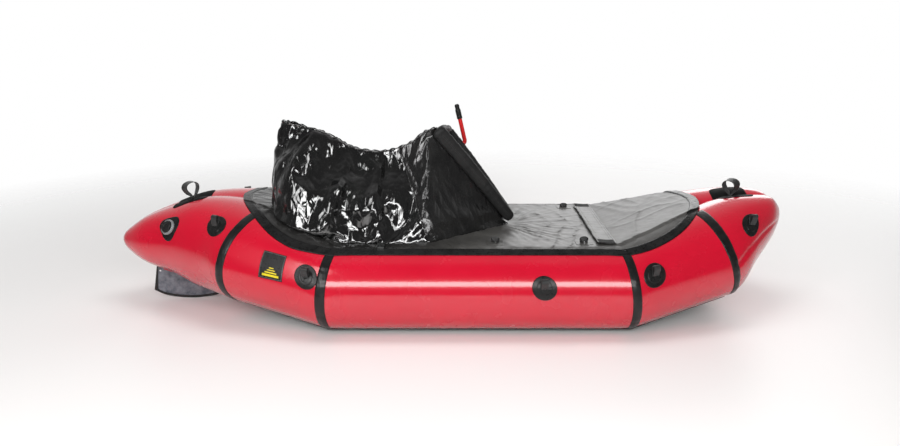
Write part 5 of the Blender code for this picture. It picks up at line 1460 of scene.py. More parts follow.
def make_rim():
    """The gathered hem round the top of the tunnel."""
    top = tunnel_rest[-1] * 0.5 + tunnel_rest[-2] * 0.5
    line = top + (0.0, 0.0, 0.002)
    mesh = bpy.data.meshes.new("skirt_rim")
    mesh.from_pydata(line.tolist(), [(i, (i + 1) % count) for i in range(count)], [])
    made = linked("skirt_rim", mesh)
    run_tree(made, ruffle_tree, {"Hem": 0.0036, "Gathers": 47.0, "Depth": 0.0024, "Seed": 3.0,
                                 "Finish": glossy_cloth})
    return made


skirt_rim = make_rim()
print("rim:   ", len(skirt_rim.data.polygons), "faces")
placed(skirt_rim, None)

# %% [markdown]
# ## The padded brace
# Two padded battens stand on the deck as a V and hold up the front of the hood. Each is foam
# in a cloth sleeve: flattened, about 46 mm wide, puckered along its two edge seams and
# creased where it bends. The sleeve is swept along the batten, with the creases as small
# changes of its section, and a cap of cloth closes it at the top.

# %% Brace
def creased(line, wide, deep, seed):
    """Half sizes of a sleeve with the small creases of padded cloth along it."""
    t = np.linspace(0.0, 1.0, len(line))
    length = float(np.linalg.norm(np.diff(line, axis=0), axis=1).sum())
    creases = crests(t * length * 78.0, np.full_like(t, 0.3), seed) ** 3 * 0.0014
    creases += crests(t * length * 20.0, 0.1 * t, seed + 1) * 0.0012
    ends = np.clip(np.minimum(t, 1.0 - t) * length / 0.014, 0.0, 1.0) ** 0.5
    return (wide + creases) * (0.45 + 0.55 * ends), (deep + 0.7 * creases) * (0.40 + 0.60 * ends)


def brace_leg(word):
    """Line, half sizes and outer direction of one sleeve, from its top to the shared foot."""
    t = np.linspace(-0.035, 1.0, 150)
    line = BRACE_TOP[word][None] * (1 - t[:, None]) + BRACE_FOOT[None] * t[:, None]
    line = line + np.outer(0.005 * np.sin(math.pi * np.clip(t, 0.0, 1.0)), (0.5, 0.3 * SIDES[word], 0.5))
    wide, deep = creased(line, 0.0235 - 0.005 * np.clip(t, 0.0, 1.0) ** 2, 0.0125, 20 if word == "port" else 24)
    return line, wide, deep, (0.0, SIDES[word], 0.30)


def brace_crown():
    """The rounded cloth that joins both sleeves at the top."""
    ends = [BRACE_TOP[word] + (BRACE_TOP[word] - BRACE_FOOT) * 0.012 for word in SIDES]
    middle = sum(ends) / 2 + (0.006, 0.0, 0.004)
    line = smooth_run([ends[0], ends[0] * 0.5 + middle * 0.5 + (0.0, 0.0, 0.006), middle,
                       ends[1] * 0.5 + middle * 0.5 + (0.0, 0.0, 0.006), ends[1]], 60)
    wide, deep = creased(line, 0.0190, 0.0130, 28)
    return line, wide, deep, (-0.6, 0.0, 0.8)


def make_brace():
    """Both sleeves and their crown, as one piece."""
    points, faces, flats, middles = [], [], [], []
    for line, wide, deep, hint in (brace_leg("starboard"), brace_leg("port"), brace_crown()):
        p, f, flat, middle = swept(line, wide, deep, 40, hint, 2.8)
        start = len(points)
        points += p.tolist()
        faces += [tuple(start + i for i in face) for face in f]
        flats += flat.tolist()
        middles += middle.tolist()
    return piece("hood_brace_sleeves", points, faces, sleeve_cloth, flats, middles)


brace = placed(make_brace(), None, "hood_brace")
seams = []
for word in SIDES:
    line, wide, deep, hint = brace_leg(word)
    ups, across = frames_along(line, hint)
    for sign, rise in ((-0.10, 1.0), (0.10, 1.0), (0.86, 0.62)):
        seams.append((line + across * (wide * sign)[:, None] + ups * (deep * rise + 0.0003)[:, None])[8:-8])
brace_stitches = stitched("hood_brace_stitches", seams, None)
print("brace: ", round(float(np.linalg.norm(BRACE_TOP["starboard"] - BRACE_FOOT)), 3), "m legs")

# %% [markdown]
# ## The hood's soft pieces
# When a paddler leans in, the whole hood crumples down towards the deck, while its foot stays
# sewn to the deck. Here the placing of every soft piece of the hood is baked into its points,
# and they ride on no body.

# %% Bake the hood's pieces
for soft in (tunnel, skirt_rim, *welts, welt_stitches, brace, brace_stitches):
    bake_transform(soft)

# %% [markdown]
# ## Finishes of the fittings
# Patches are black urethane, satin with a fine grain. Webbing is woven polyester with ribs
# across it. Moulded pieces differ only in colour, gloss and grain, so one function makes
# them all.

# %% Fitting finishes
def make_moulded(name, dark, pale, low, high, grain=0.25, size=60.0, coat=0.0, level=0.3):
    made, tree, shader = start_finish(name, Coat_Weight=coat, Coat_Roughness=0.15, Specular_IOR_Level=level)
    broad = bump(tree, cloud(tree, size, 2.0), grain * 0.5, 0.0010)
    dress(shader, Base_Color=ramp(tree, cloud(tree, size, 5.0, 0.6), [(0.3, dark), (0.72, pale)]),
          Roughness=ramp(tree, cloud(tree, size * 1.7, 4.0, 0.6), [(0.3, low), (0.75, high)]),
          Normal=bump(tree, cloud(tree, 900.0, 2.0), grain, 0.0002, broad))
    return made


def make_webbing():
    made, tree, shader = start_finish("black_webbing", Sheen_Weight=0.25, Sheen_Roughness=0.4)
    flat = tree.nodes.new("ShaderNodeTexCoord").outputs["UV"]
    ribs, twill = (add(tree, "ShaderNodeTexWave", vector=flat, scale=scale, bands_direction=way,
                       distortion=uneven).outputs["Fac"]
                   for scale, way, uneven in ((95.0, "Y", 0.6), (130.0, "X", 0.4)))
    cords = sums(tree, "ADD", sums(tree, "MULTIPLY", ribs, 0.6), sums(tree, "MULTIPLY", twill, 0.4))
    dress(shader, Base_Color=ramp(tree, cords, [(0.2, 0.008), (0.8, 0.026)]),
          Roughness=ramp(tree, cloud(tree, 90.0, 4.0), [(0.3, 0.42), (0.7, 0.62)]),
          Normal=bump(tree, cords, 0.6, 0.0005))
    return made


patch_rubber = make_moulded("black_patch_rubber", 0.007, 0.015, 0.24, 0.38, 0.2, coat=0.08)
webbing = make_webbing()
tab_rubber = make_moulded("black_tab_rubber", 0.005, 0.010, 0.50, 0.66, 0.2, level=0.05)
black_plastic = make_moulded("black_plastic", 0.010, 0.020, 0.25, 0.40, 0.15, 140.0)
valve_plastic = make_moulded("grey_clear_plastic", (0.16, 0.165, 0.17), (0.26, 0.265, 0.27),
                             0.16, 0.28, 0.1, 90.0, 0.5)
red_hose = make_moulded("red_hose", (0.55, 0.010, 0.012), (0.66, 0.018, 0.018), 0.24, 0.36, 0.15, 50.0, 0.3)
fin_core = make_moulded("grey_fin_plastic", (0.040, 0.046, 0.062), (0.210, 0.220, 0.250),
                        0.20, 0.42, 0.3, 30.0, 0.3)
seat_cloth = make_moulded("dark_seat_cloth", (0.016, 0.017, 0.020), (0.034, 0.035, 0.039),
                          0.5, 0.68, 0.35, 40.0)
print("finishes:", len(bpy.data.materials), "so far")

# %% [markdown]
# ## Tie-down patches
# Each tie-down is a round patch welded to the tube with a thicker disc in its middle, which
# holds a webbing loop. The patch is a fan of rings laid on the skin, so that it follows the
# tube's curve. Its edge is thin, and the disc stands up with a groove round it.

# %% Patches
def spread(place, forward, upward):
    """Shares and angles of points that lie round a place on a panel, by lengths."""
    chain, share, angle = place
    here = bare_skin(chain, share, angle)
    along = (bare_skin(chain, share + 0.004, angle) - here) / 0.004
    around = bare_skin(chain, share, angle + 1.0) - here
    sign = math.copysign(1.0, along[0])
    return (share + sign * forward / np.linalg.norm(along), angle + upward / np.linalg.norm(around))


def on_panel(place, side):
    """A function that puts lengths forward, upward and outward of a place on the boat."""
    return lambda forward, upward, lift: on_side(skin(place[0], *spread(place, forward, upward), lift), side)


def squared(turn, half_x, half_y, power):
    """Outline of a rounded rectangle by angle."""
    return ((np.abs(np.cos(turn)) / half_x) ** power + (np.abs(np.sin(turn)) / half_y) ** power) ** (-1 / power)


PATCH_WALL, PATCH_LIFT, PATCH_THIN = 0.0009, 0.0019, 0.0012      # the edge is thinner by the last
DISC_RISE, GROOVE_DEPTH, GROOVE_WIDTH, GROOVE_IN = 0.0012, 0.0007, 0.0011, 0.0040


def round_patch(name, lay, reach, body, node, disc=None, finish=None, turns=96):
    """A patch of rings; lay puts (forward, upward, lift) on the boat, reach is its outline."""
    turn = np.linspace(0.0, 2.0 * math.pi, turns, endpoint=False)
    far = reach(turn)
    steps = np.array([0.12, 0.24, 0.36, 0.46, 0.54, 0.58, 0.60, 0.615, 0.63, 0.65, 0.70, 0.78, 0.86, 0.92, 0.96,
                      0.985, 1.0])
    rows = [lay(np.zeros(1), np.zeros(1), np.full(1, PATCH_LIFT + (DISC_RISE if disc else 0.0)))[0]]
    for step in steps:
        radius = far * step
        lift = np.full(turns, PATCH_LIFT - PATCH_THIN * max(0.0, (step - 0.955) / 0.045) ** 2)
        if disc:
            lift += DISC_RISE * np.clip((disc - radius) / 0.0010, 0.0, 1.0)
            lift -= GROOVE_DEPTH * np.exp(-((radius - disc + GROOVE_IN) / GROOVE_WIDTH) ** 2)
        lift += 0.00022 * (hills(turn * 3.0, np.full(turns, step * 5.0), 30) - 0.5)
        rows.append(lay(radius * np.cos(turn), radius * np.sin(turn), lift))
    points = np.vstack([rows[0][None, :]] + rows[1:])
    faces = [(0, 1 + k, 1 + (k + 1) % turns) for k in range(turns)]
    faces += [tuple(1 + i for i in f) for f in grid(len(steps), turns, True)]
    inside = lay(np.zeros(1), np.zeros(1), np.full(1, -0.05))[0]
    made = piece(name, points, faces, finish or patch_rubber, points[:, [0, 2]], inside)
    return placed(thicken(made, PATCH_WALL), body, node)


TIE_RADIUS, TIE_DISC = 0.042, 0.026
TIE_PLACES = {"tail": ("tail", 0.160, 42.0), "aft": ("stern_quarter", 0.16, 24.0), "mid": ("side", 0.709, 16.5),
              "fore": ("bow_quarter", 0.20, 24.0), "nose": ("nose", 0.330, 36.0)}
for word, side in SIDES.items():
    for spot, place in TIE_PLACES.items():
        node = f"tie_patch_{spot}_{word}"
        round_patch(node + "_disc", on_panel(place, side), lambda turn: TIE_RADIUS + 0.0 * turn,
                    "hull", node, TIE_DISC)
print("patches:", 2 * len(TIE_PLACES), "tie-downs")

# %% [markdown]
# ## Webbing loops
# A tie-down loop is a strap folded into a slim drop, and a grab loop is a wide arch for a
# hand. Both are one strip bent along a line, thick enough to show its edge, with the ribs of
# the weave running across it. The loops stay on their own hinges.

# %% Loops
hinges = {joint["child"]: joint for joint in frame["joints"]}
TIE_TILT, TIE_BASE = math.radians(50.0), 0.0026


def drop_line(height, half, base, count):
    """Outline of a slim drop: a small arc, a large arc and two straights."""
    lean = math.asin((half - base) / (height - half - base))
    low = math.pi + lean + (math.pi - 2.0 * lean) * np.linspace(0.0, 1.0, count // 3)
    high = -lean + (math.pi + 2.0 * lean) * np.linspace(0.0, 1.0, count // 2)
    rise = np.linspace(0.0, 1.0, count // 6 + 2)[1:-1, None]
    small = np.column_stack([base * np.cos(low), base + base * np.sin(low)])
    large = np.column_stack([half * np.cos(high), height - half + half * np.sin(high)])
    return np.vstack([small, small[-1] * (1 - rise) + large[0] * rise, large,
                      large[-1] * (1 - rise) + small[0] * rise])


def arch_line(height, half, base, thick, count):
    """Outline of a wide arch on a narrow base."""
    turn = np.linspace(0.0, 2.0 * math.pi, count, endpoint=False)
    reach = base + (half - base) * ((1.0 - np.cos(turn)) / 2) ** 0.8
    return np.column_stack([reach * np.sin(turn), thick / 2 + (height - thick) * (1.0 - np.cos(turn)) / 2])


STRAP_COLUMNS = 11


def strap_loop(name, home, across, outward, line, thick, width, body, node, twist=0.0, foot=1.0):
    """Webbing along a closed line; foot is the share of its width that is left at the stitches."""
    flat = np.cross(across, outward)
    middle = home + np.outer(line[:, 0], across) + np.outer(line[:, 1], outward)
    run = np.roll(middle, -1, axis=0) - np.roll(middle, 1, axis=0)
    run /= np.linalg.norm(run, axis=1, keepdims=True)
    off = np.cross(run, flat)
    rise = np.clip(line[:, 1] / line[:, 1].max(), 0.0, 1.0)
    rows = []
    for share in np.linspace(-1.0, 1.0, STRAP_COLUMNS):
        turn = np.clip((rise - 0.1 * (1.0 - foot)) * 2.2, 0.0, 1.0)
        lean = twist * np.sin(0.5 * math.pi * turn) * (1.0 + 0.35 * np.sin(9.0 * rise))
        aside = share * width / 2 * (foot + (1.0 - foot) * np.clip(rise / 0.3, 0.0, 1.0))
        rows.append(middle + flat * (aside * np.cos(lean))[:, None] - off * (aside * np.sin(lean))[:, None]
                    + off * (0.025 * width * share ** 2 * rise)[:, None])
    length = np.concatenate([[0.0], np.cumsum(np.linalg.norm(np.diff(middle, axis=0), axis=1))])
    flats = chart(np.linspace(0.0, width, STRAP_COLUMNS), length)[..., ::-1]
    made = piece(name, rows, grid(STRAP_COLUMNS, len(line), True), webbing, flats, middle.mean(axis=0))
    rounded(thicken(made, thick, 0.0), 1)
    return placed(made, body, node)


for word, side in SIDES.items():
    for spot, place in TIE_PLACES.items():
        body = f"tie_loop_{spot}_{word}"
        normal = on_side(skin_normal(*place), side)
        around = on_side(bare_skin(place[0], place[1], place[2] + 1.0) - bare_skin(*place), side)
        upward = around - normal * np.dot(around, normal)
        upward /= np.linalg.norm(upward)
        outward = normal * math.cos(TIE_TILT) + upward * math.sin(TIE_TILT)
        across = upward * math.cos(TIE_TILT) - normal * math.sin(TIE_TILT)
        strap_loop(body + "_strap", np.array(hinges[body]["pos_m"]) - outward * TIE_BASE, across, outward,
                   drop_line(0.038, 0.0085, TIE_BASE, 72), 0.0016, 0.024, body, body)
GRABS = {"stern": (-0.968, math.radians(46.0)), "bow": (1.062, math.radians(-50.0))}
for word, (x, yaw) in GRABS.items():
    body = f"grab_loop_{word}"
    slope = (skin_height(x + 0.01, 0.0) - skin_height(x - 0.01, 0.0)) / 0.02
    outward = np.array([-slope, 0.0, 1.0]) / math.hypot(slope, 1.0)
    across = np.array([outward[2], 0.0, -outward[0]])
    across = across * math.cos(yaw) + np.cross(outward, across) * math.sin(yaw)
    home = np.array(hinges[body]["pos_m"]) - outward * 0.0012
    strap_loop(body + "_strap", home, across, outward, arch_line(0.062, 0.037, 0.006, 0.0022, 110),
               0.0024, 0.034, body, body, twist=0.12, foot=0.20)

    def lay_ridge(forward, upward, lift, x=x):
        return np.array([[x + f, u, skin_height(x + f, abs(u)) + r] for f, u, r in zip(forward, upward, lift)])

    round_patch(f"grab_patch_{word}_pad", lay_ridge, lambda turn: squared(turn, 0.065, 0.085, 6),
                "hull", f"grab_patch_{word}", finish=tab_rubber)

# %% [markdown]
# ## The valve
# The hull is filled through a wide valve on the stern. Its ring is moulded in greyish clear
# plastic, and its black cap has six grips round it. Both are spun from a profile whose
# corners are rounded first, because no moulded edge is quite sharp.

# %% Turned pieces
def round_corners(profile, size):
    """Round each corner of a closed profile of (radius, height), except on the axis."""
    made = []
    count = len(profile)
    for k, here in enumerate(profile):
        here = np.array(here, float)
        if here[0] == 0.0:
            made.append(here)
            continue
        before, after = np.array(profile[k - 1], float), np.array(profile[(k + 1) % count], float)
        reach_a = min(size, 0.45 * np.linalg.norm(before - here))
        reach_b = min(size, 0.45 * np.linalg.norm(after - here))
        a = here + (before - here) / max(np.linalg.norm(before - here), 1e-9) * reach_a
        b = here + (after - here) / max(np.linalg.norm(after - here), 1e-9) * reach_b
        for t in (0.0, 0.25, 0.5, 0.75, 1.0):
            made.append(a * (1 - t) ** 2 + here * 2 * t * (1 - t) + b * t ** 2)
    return np.array(made)


def turned(name, profile, base, axis, finish, sides=96, radius_at=None, corner=0.0009):
    """A solid spun from a closed profile of (radius, height) about an axis."""
    axis = np.array(axis, float) / np.linalg.norm(axis)
    side_axis = np.cross(axis, (0.0, 1.0, 0.0))
    side_axis /= np.linalg.norm(side_axis)
    other = np.cross(axis, side_axis)
    points, rings = [], []
    for radius, height in round_corners(profile, corner):
        if radius < 1e-9:
            rings.append([len(points)] * sides)
            points.append(base + axis * height)
            continue
        rings.append(list(range(len(points), len(points) + sides)))
        for k in range(sides):
            turn = 2 * math.pi * k / sides
            far = radius_at(radius, turn) if radius_at else radius
            points.append(base + side_axis * far * math.cos(turn) + other * far * math.sin(turn)
                          + axis * height)
    faces = []
    for first, second in zip(rings, rings[1:] + rings[:1]):
        for k in range(sides):
            ring = []
            for i in (first[k], first[(k + 1) % sides], second[(k + 1) % sides], second[k]):
                if i not in ring:
                    ring.append(i)
            if len(ring) > 2:
                faces.append(tuple(ring))
    made = piece(name, points, faces, finish, np.array(points)[:, [0, 2]])
    cleaned(made.data)
    return made


VALVE_PLACE = ("tail", 0.585, 33.0)
round_patch("valve_patch_pad", on_panel(VALVE_PLACE, -1.0),
            lambda turn: 0.046 * (1.0 + 0.12 * np.cos(3 * turn - math.pi / 2)),
            "hull", "valve_patch")
valve_axis = np.array(hinges["valve_cap"]["axis"])
VALVE_SEAT, CAP_GAP = 0.0042, 0.0003
cap_base = np.array(hinges["valve_cap"]["pos_m"])
valve_base = cap_base - valve_axis * (VALVE_SEAT + CAP_GAP)
RING_PROFILE = [(0.0, 0.0), (0.029, 0.0), (0.029, 0.0048), (0.0265, 0.0096), (0.0231, 0.0096), (0.0221, 0.0084),
                (0.0221, VALVE_SEAT), (0.0, VALVE_SEAT)]
CAP_PROFILE = [(0.0, 0.0), (0.0215, 0.0), (0.0215, 0.00935), (0.01935, 0.011), (0.0129, 0.011),
               (0.0108, 0.0083), (0.0, 0.0083)]
ring = turned("valve_body_ring", RING_PROFILE, valve_base, valve_axis, valve_plastic)
placed(ring, "hull", "valve_body")


def grips(radius, turn):
    """Radius of the cap with six hollows for fingers, finely ribbed."""
    bite = max(0.0, math.cos(6 * turn)) ** 2
    return radius - (0.0015 + 0.0006 * math.sin(36 * turn) ** 2) * bite


cap = turned("valve_cap_knob", CAP_PROFILE, cap_base, valve_axis, black_plastic, 144, grips)
placed(cap, "valve_cap", "valve_cap")

# %% [markdown]
# ## The oral tube
# A red hose leaves the port brace, bends upwards and ends in a black mouthpiece that is
# pushed down to let air pass. The hose is swept along its bend, and rings are moulded into
# the mouthpiece.

# %% Oral tube
brace_run = BRACE_TOP["port"] - BRACE_FOOT
brace_run /= np.linalg.norm(brace_run)
hose_out = np.array([1.0, 0.0, 0.0]) - brace_run * brace_run[0]
hose_out /= np.linalg.norm(hose_out)
hose_start = BRACE_FOOT + (BRACE_TOP["port"] - BRACE_FOOT) * 0.84 + hose_out * 0.0203
elbow = hose_start + hose_out * 0.012
hose_end = elbow + (-0.024, 0.0, 0.104)
rise = (hose_end - elbow) / np.linalg.norm(hose_end - elbow)
bend = [hose_start, hose_start + (elbow - hose_start) * 0.45,
        hose_start + (elbow - hose_start) * 0.8 + rise * 0.0016, elbow + rise * 0.0072,
        elbow + rise * 0.016, elbow * 0.5 + hose_end * 0.5, hose_end]
hose = swept_piece("oral_hose", red_hose, smooth_run(bend, 70), 0.008, 0.008, 32)
placed(hose, "hood_gear", "oral_tube")
MOUTH_PROFILE = [(0.0088, 0.0), (0.0105, 0.0), (0.0105, 0.010), (0.0099, 0.012), (0.0105, 0.014),
                 (0.0105, 0.0336), (0.0084, 0.0392), (0.00903, 0.0515), (0.0063, 0.056), (0.0, 0.056),
                 (0.0, 0.0182), (0.0088, 0.0182)]
mouth = turned("oral_mouthpiece_tip", MOUTH_PROFILE, hose_end - rise * 0.014, rise, black_plastic, 64,
               corner=0.0007)
placed(mouth, "mouthpiece", "oral_mouthpiece")
for name, made in (("oral_tube", hose), ("oral_mouthpiece", mouth)):
    off = [round(1000 * (a - b)) for a, b in zip(made.bound_box[0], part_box(name)[0])]
    print(name, "is off its solid by", off, "mm")

# %% [markdown]
# ## The fin
# A flat fin slides into a red track under the stern. It is moulded plastic with a mottled
# grey face, a black rim and a small lanyard hole. Outlines drawn as curves can be filled and
# rounded at once, so the face and its rim are two filled curves. The track is the
# engineering solid again, with its edges rounded.

# %% Fin
def filled(name, loops, thick, edge, finish):
    """A flat plate between closed outlines of (x, z), with rounded edges."""
    curve = bpy.data.curves.new(name, "CURVE")
    curve.dimensions = "2D"
    curve.fill_mode = "BOTH"
    curve.extrude = thick / 2 - edge
    curve.bevel_depth = edge
    curve.bevel_resolution = 3
    curve.offset = -edge
    for loop in loops:
        spline = curve.splines.new("POLY")
        spline.points.add(len(loop) - 1)
        for point, (x, z) in zip(spline.points, loop):
            point.co = (x, z, 0.0, 1.0)
        spline.use_cyclic_u = True
    holder = linked(name, curve)
    deps = bpy.context.evaluated_depsgraph_get()
    mesh = bpy.data.meshes.new_from_object(holder.evaluated_get(deps))
    bpy.data.objects.remove(holder)
    mesh.transform(Matrix(((1, 0, 0, 0), (0, 0, -1, 0), (0, 1, 0, 0), (0, 0, 0, 1))))
    mesh.materials.clear()
    mesh.materials.append(finish)
    made = linked(name, mesh)
    cleaned(mesh, join=0.00002)
    for face in mesh.polygons:
        face.use_smooth = abs(face.normal.y) < 0.999
    return made


fin_low, fin_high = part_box("fin")
FIN_TAIL, FIN_NOSE = -1.150, -0.885
tail_z = fin_low.z + 0.031
edge_shares = [(0.86, 0.45), (0.72, 0.16), (0.56, 0.02), (0.40, 0.0), (0.24, 0.14), (0.10, 0.36)]
lower = [(FIN_TAIL, tail_z)] + [(FIN_NOSE - 0.265 * a, fin_low.z + 0.030 * b) for a, b in edge_shares]
lower += [(FIN_NOSE, fin_low.z + 0.021)]
top_fore = max((v.co for v in frame["nodes"]["fin"].data.vertices), key=lambda co: co.x + co.z)
top_aft = (-1.132, fin_high.z)
lower = smooth_run(lower, 90)
fin_loop = np.vstack([lower, [(top_fore.x, top_fore.z)], [top_aft]])
inner = smooth_run(np.vstack([[(-1.135, tail_z + 0.005)], lower[8:82] + (0.0, 0.0100),
                              [(-0.896, fin_low.z + 0.033)]]), 90)
inner = np.vstack([inner, [(top_fore.x - 0.008, top_fore.z - 0.006)], [(-1.1275, fin_high.z - 0.007)]])
hole = np.array([-1.122, float(np.interp(-1.122, [-1.132, top_fore.x], [fin_high.z, top_fore.z])) - 0.026])
turn = np.linspace(0.0, 2.0 * math.pi, 32, endpoint=False)
rim_plastic = make_moulded("black_fin_rim", 0.008, 0.016, 0.25, 0.4, 0.2)
rim = filled("fin_rim", [fin_loop, inner], 0.0060, 0.0010, rim_plastic)
hole_loop = hole + 0.004 * np.column_stack([np.cos(turn), np.sin(turn)])
core = filled("fin_face", [inner, hole_loop], 0.0050, 0.0007, fin_core)
placed(rim, "fin", "fin")
placed(core, "fin")
print("fin:   ", [round(v, 3) for v in rim.dimensions], "m")


def copied(node, name, finish):
    """A copy of an engineering solid, with a finish of its own."""
    mesh = frame["nodes"][node].data.copy()
    mesh.name = name
    mesh.materials.clear()
    mesh.materials.append(finish)
    return linked(name, mesh)


def refined(node, name, finish, body, edge):
    """A rigid engineering solid again, with its edges rounded."""
    made = copied(node, name, finish)
    cleaned(made.data, join=0.00002, flatten=0.02)
    bevel = made.modifiers.new("edges", "BEVEL")
    bevel.width = edge
    bevel.segments = 3
    bevel.limit_method = "ANGLE"
    bevel.angle_limit = math.radians(28.0)
    applied(made)
    shade_smooth(made)
    return placed(made, body, node)


red_track = make_moulded("red_track_plastic", (0.50, 0.006, 0.014), (0.62, 0.012, 0.020),
                         0.25, 0.4, 0.2, 40.0, 0.2)
refined("fin_base", "fin_base_track", red_track, "hull", 0.0015)

# %% [markdown]
# ## The seat
# The seat and its backrest are inflated pads. Their shape is known only roughly, from boats
# of this kind, because the tunnel hides them. A closed, evenly meshed copy of each pad is
# blown up by a short cloth simulation: air pressure swells it, and no point may move more
# than a few millimetres, which gives the slight bulges that an inflated pad has.

# %% Seat
CELL, PRESSURE, PUFF_FRAMES, PUFF_CAP = 0.0075, 3.0, 12, 0.007


def puffed(node, name, finish, body):
    """A padded solid, evenly meshed and blown up a little."""
    made = copied(node, name, finish)
    even = made.modifiers.new("even", "REMESH")
    even.mode = "VOXEL"
    even.voxel_size = CELL
    applied(made)
    rest = points_of(made)
    air = made.modifiers.new("air", "CLOTH")
    c = air.settings
    c.quality = 5
    c.mass = 0.15
    c.tension_stiffness = c.compression_stiffness = 30.0
    c.bending_stiffness = 2.0
    c.use_pressure = True
    c.uniform_pressure_force = PRESSURE
    c.effector_weights.gravity = 0.0
    shift = simulated(made, air, PUFF_FRAMES) - rest
    shift *= np.minimum(1.0, PUFF_CAP / np.maximum(np.linalg.norm(shift, axis=1, keepdims=True), 1e-9))
    shift[:, 2] = np.maximum(shift[:, 2], np.where(rest[:, 2] < rest[:, 2].min() + 0.004, 0.0, -1.0))
    set_points(made, rest + shift)
    print(name, "swells by up to", round(1000 * float(np.linalg.norm(shift, axis=1).max())), "mm")
    shade_smooth(made)
    rounded(made, 1)
    placed(made, body, node)
    return made


puffed("seat_cushion", "seat_cushion_pad", seat_cloth, "hull")
puffed("seat_backrest", "seat_backrest_pad", seat_cloth, "seat_backrest")

# %% [markdown]
# ## Things on the deck
# The flap, the loops, the strap and the patches under them lie on the finished deck, so
# rays cast down on it give their heights, creases and all.

# %% Flap, loops and strap
deck_tree = ray_tree(deck_sheet, edge_band)


def on_deck(x, y):
    """Height of the finished deck."""
    hit = deck_tree.ray_cast(Vector((x, y, 1.0)), Vector((0.0, 0.0, -1.0)))[0]
    return hit.z if hit else deck_height(x, abs(y)) + DECK_LIFT


FLAP_X, FLAP_HALF, FLAP_REST = (0.512, 0.578), 0.306, 0.0009
DECK_LOOP_X, DECK_LOOP_OUT, DECK_LOOP_HEIGHT = (0.158, 0.469), 0.276, {"starboard": 0.016, "port": 0.010}
flap_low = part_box("deck_flap")[0].z


def make_flap():
    """The flap as a ragged band on the deck; returns it and its points."""
    rows, columns = 15, 220
    u = np.linspace(0.0, 1.0, rows)[:, None]
    y = np.linspace(-FLAP_HALF, FLAP_HALF, columns)[None, :]
    ragged = 0.0030 * (hills(y * 60.0, 0.0 * y, 40) - 0.5) + 0.0006 * (hills(y * 260.0, 0.0 * y, 41) - 0.5)
    x = FLAP_X[0] + (FLAP_X[1] - FLAP_X[0]) * u + ragged * (np.abs(2 * u - 1) > 0.99)
    lift = 0.0045 * (1.0 - u) ** 3 * (0.2 + crests(y * 9.0, 0.0 * y, 42))
    lift = lift + 0.0009 * crests(x * 18.0, y * 26.0, 43)
    base = np.array([[on_deck(a, b) for a, b in zip(row, y[0])] for row in np.broadcast_to(x, (rows, columns))])
    z = 0.45 * np.maximum(base + FLAP_REST, flap_low) + 0.55 * (base + FLAP_REST) + lift
    points = np.stack([np.broadcast_to(x, z.shape), np.broadcast_to(y, z.shape), z], -1)
    made = piece("deck_flap_band", points, grid(rows, columns), deck_cloth, points[..., :2],
                 points - (0.0, 0.0, 1.0))
    return thicken(made, 0.0010, 1.0), points


flap, flap_points = make_flap()
placed(flap, "deck_flap", "deck_flap")
for word, side in SIDES.items():
    keep = np.abs(flap_points[0, :, 1] - side * (FLAP_HALF - 0.022)) < 0.0235
    block = flap_points[1:-1][:, keep] + (0.0, 0.0, 0.0011)
    tab = piece(f"deck_flap_tab_{word}", block, grid(*block.shape[:2]), tab_rubber, block[..., :2],
                block - (0.0, 0.0, 1.0))
    placed(thicken(tab, PATCH_WALL, 1.0), "deck_flap")
lines = [flap_points[row, 2:-2] + (0.0, 0.0, 0.0013) for row in (1, 3, 11, 13)]
stitched("deck_flap_stitches", lines, "deck_flap", 0.0040, 0.0028, 0.0008)

for word, side in SIDES.items():
    for number, x in enumerate(DECK_LOOP_X, start=1):
        y = DECK_LOOP_OUT * side

        def lay_here(forward, upward, lift, x=x, y=y):
            return np.array([[x + f, y + u, on_deck(x + f, y + u) + 0.0002 + r * 0.6]
                             for f, u, r in zip(forward, upward, lift)])

        node = f"deck_loop_{number}_{word}"
        round_patch(node + "_pad", lay_here, lambda turn: squared(turn, 0.030, 0.030, 5),
                    "hull", None, finish=deck_cloth, turns=64)
        home = np.array([x, y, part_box(node)[0].z])
        line = arch_line(DECK_LOOP_HEIGHT[word], 0.010, 0.008, 0.0016, 60)
        strap_loop(node + "_strap", home, np.array([1.0, 0.0, 0.0]), np.array([0.0, 0.0, 1.0]), line,
                   0.0016, 0.018, "hull", node, twist=0.9)


STRAP_X = -0.238


def make_strap():
    """The side strap, laid on the deck; returns its line."""
    out = np.linspace(0.262, 0.354, 70)
    base = np.array([max(on_deck(STRAP_X + s, -o) for s in (-0.009, 0.0, 0.009)) for o in out])
    line = np.column_stack([np.full_like(out, STRAP_X), -out, base + 0.0012 + 0.0005 * np.sin(out * 170.0)])
    made = swept_piece("buckle_strap_band", webbing, line, 0.011, 0.0008, 24, (0.0, 0.0, 1.0), 6.0)
    placed(made, "hull", "buckle_strap")
    return line


strap_line = make_strap()
strap_stitches = [strap_line[40:66] + (s, 0.0, 0.0010) for s in (-0.0075, 0.0, 0.0075)]
stitched("buckle_strap_stitches", strap_stitches, "hull", 0.0032, 0.0022, 0.0006)
refined("strap_buckle", "strap_buckle_ladder", black_plastic, "strap_buckle", 0.0011)
print("deck:  ", "flap, four loops, strap and buckle")

# %% [markdown]
# ## The label patch
# The picture shows a printed label on the stern quarter. Its own picture isn't copied: this
# one is a plain black patch with a thin grey border and plain yellow stripes. It is a grid
# laid on the skin, and the print is the grid's faces given to another finish.

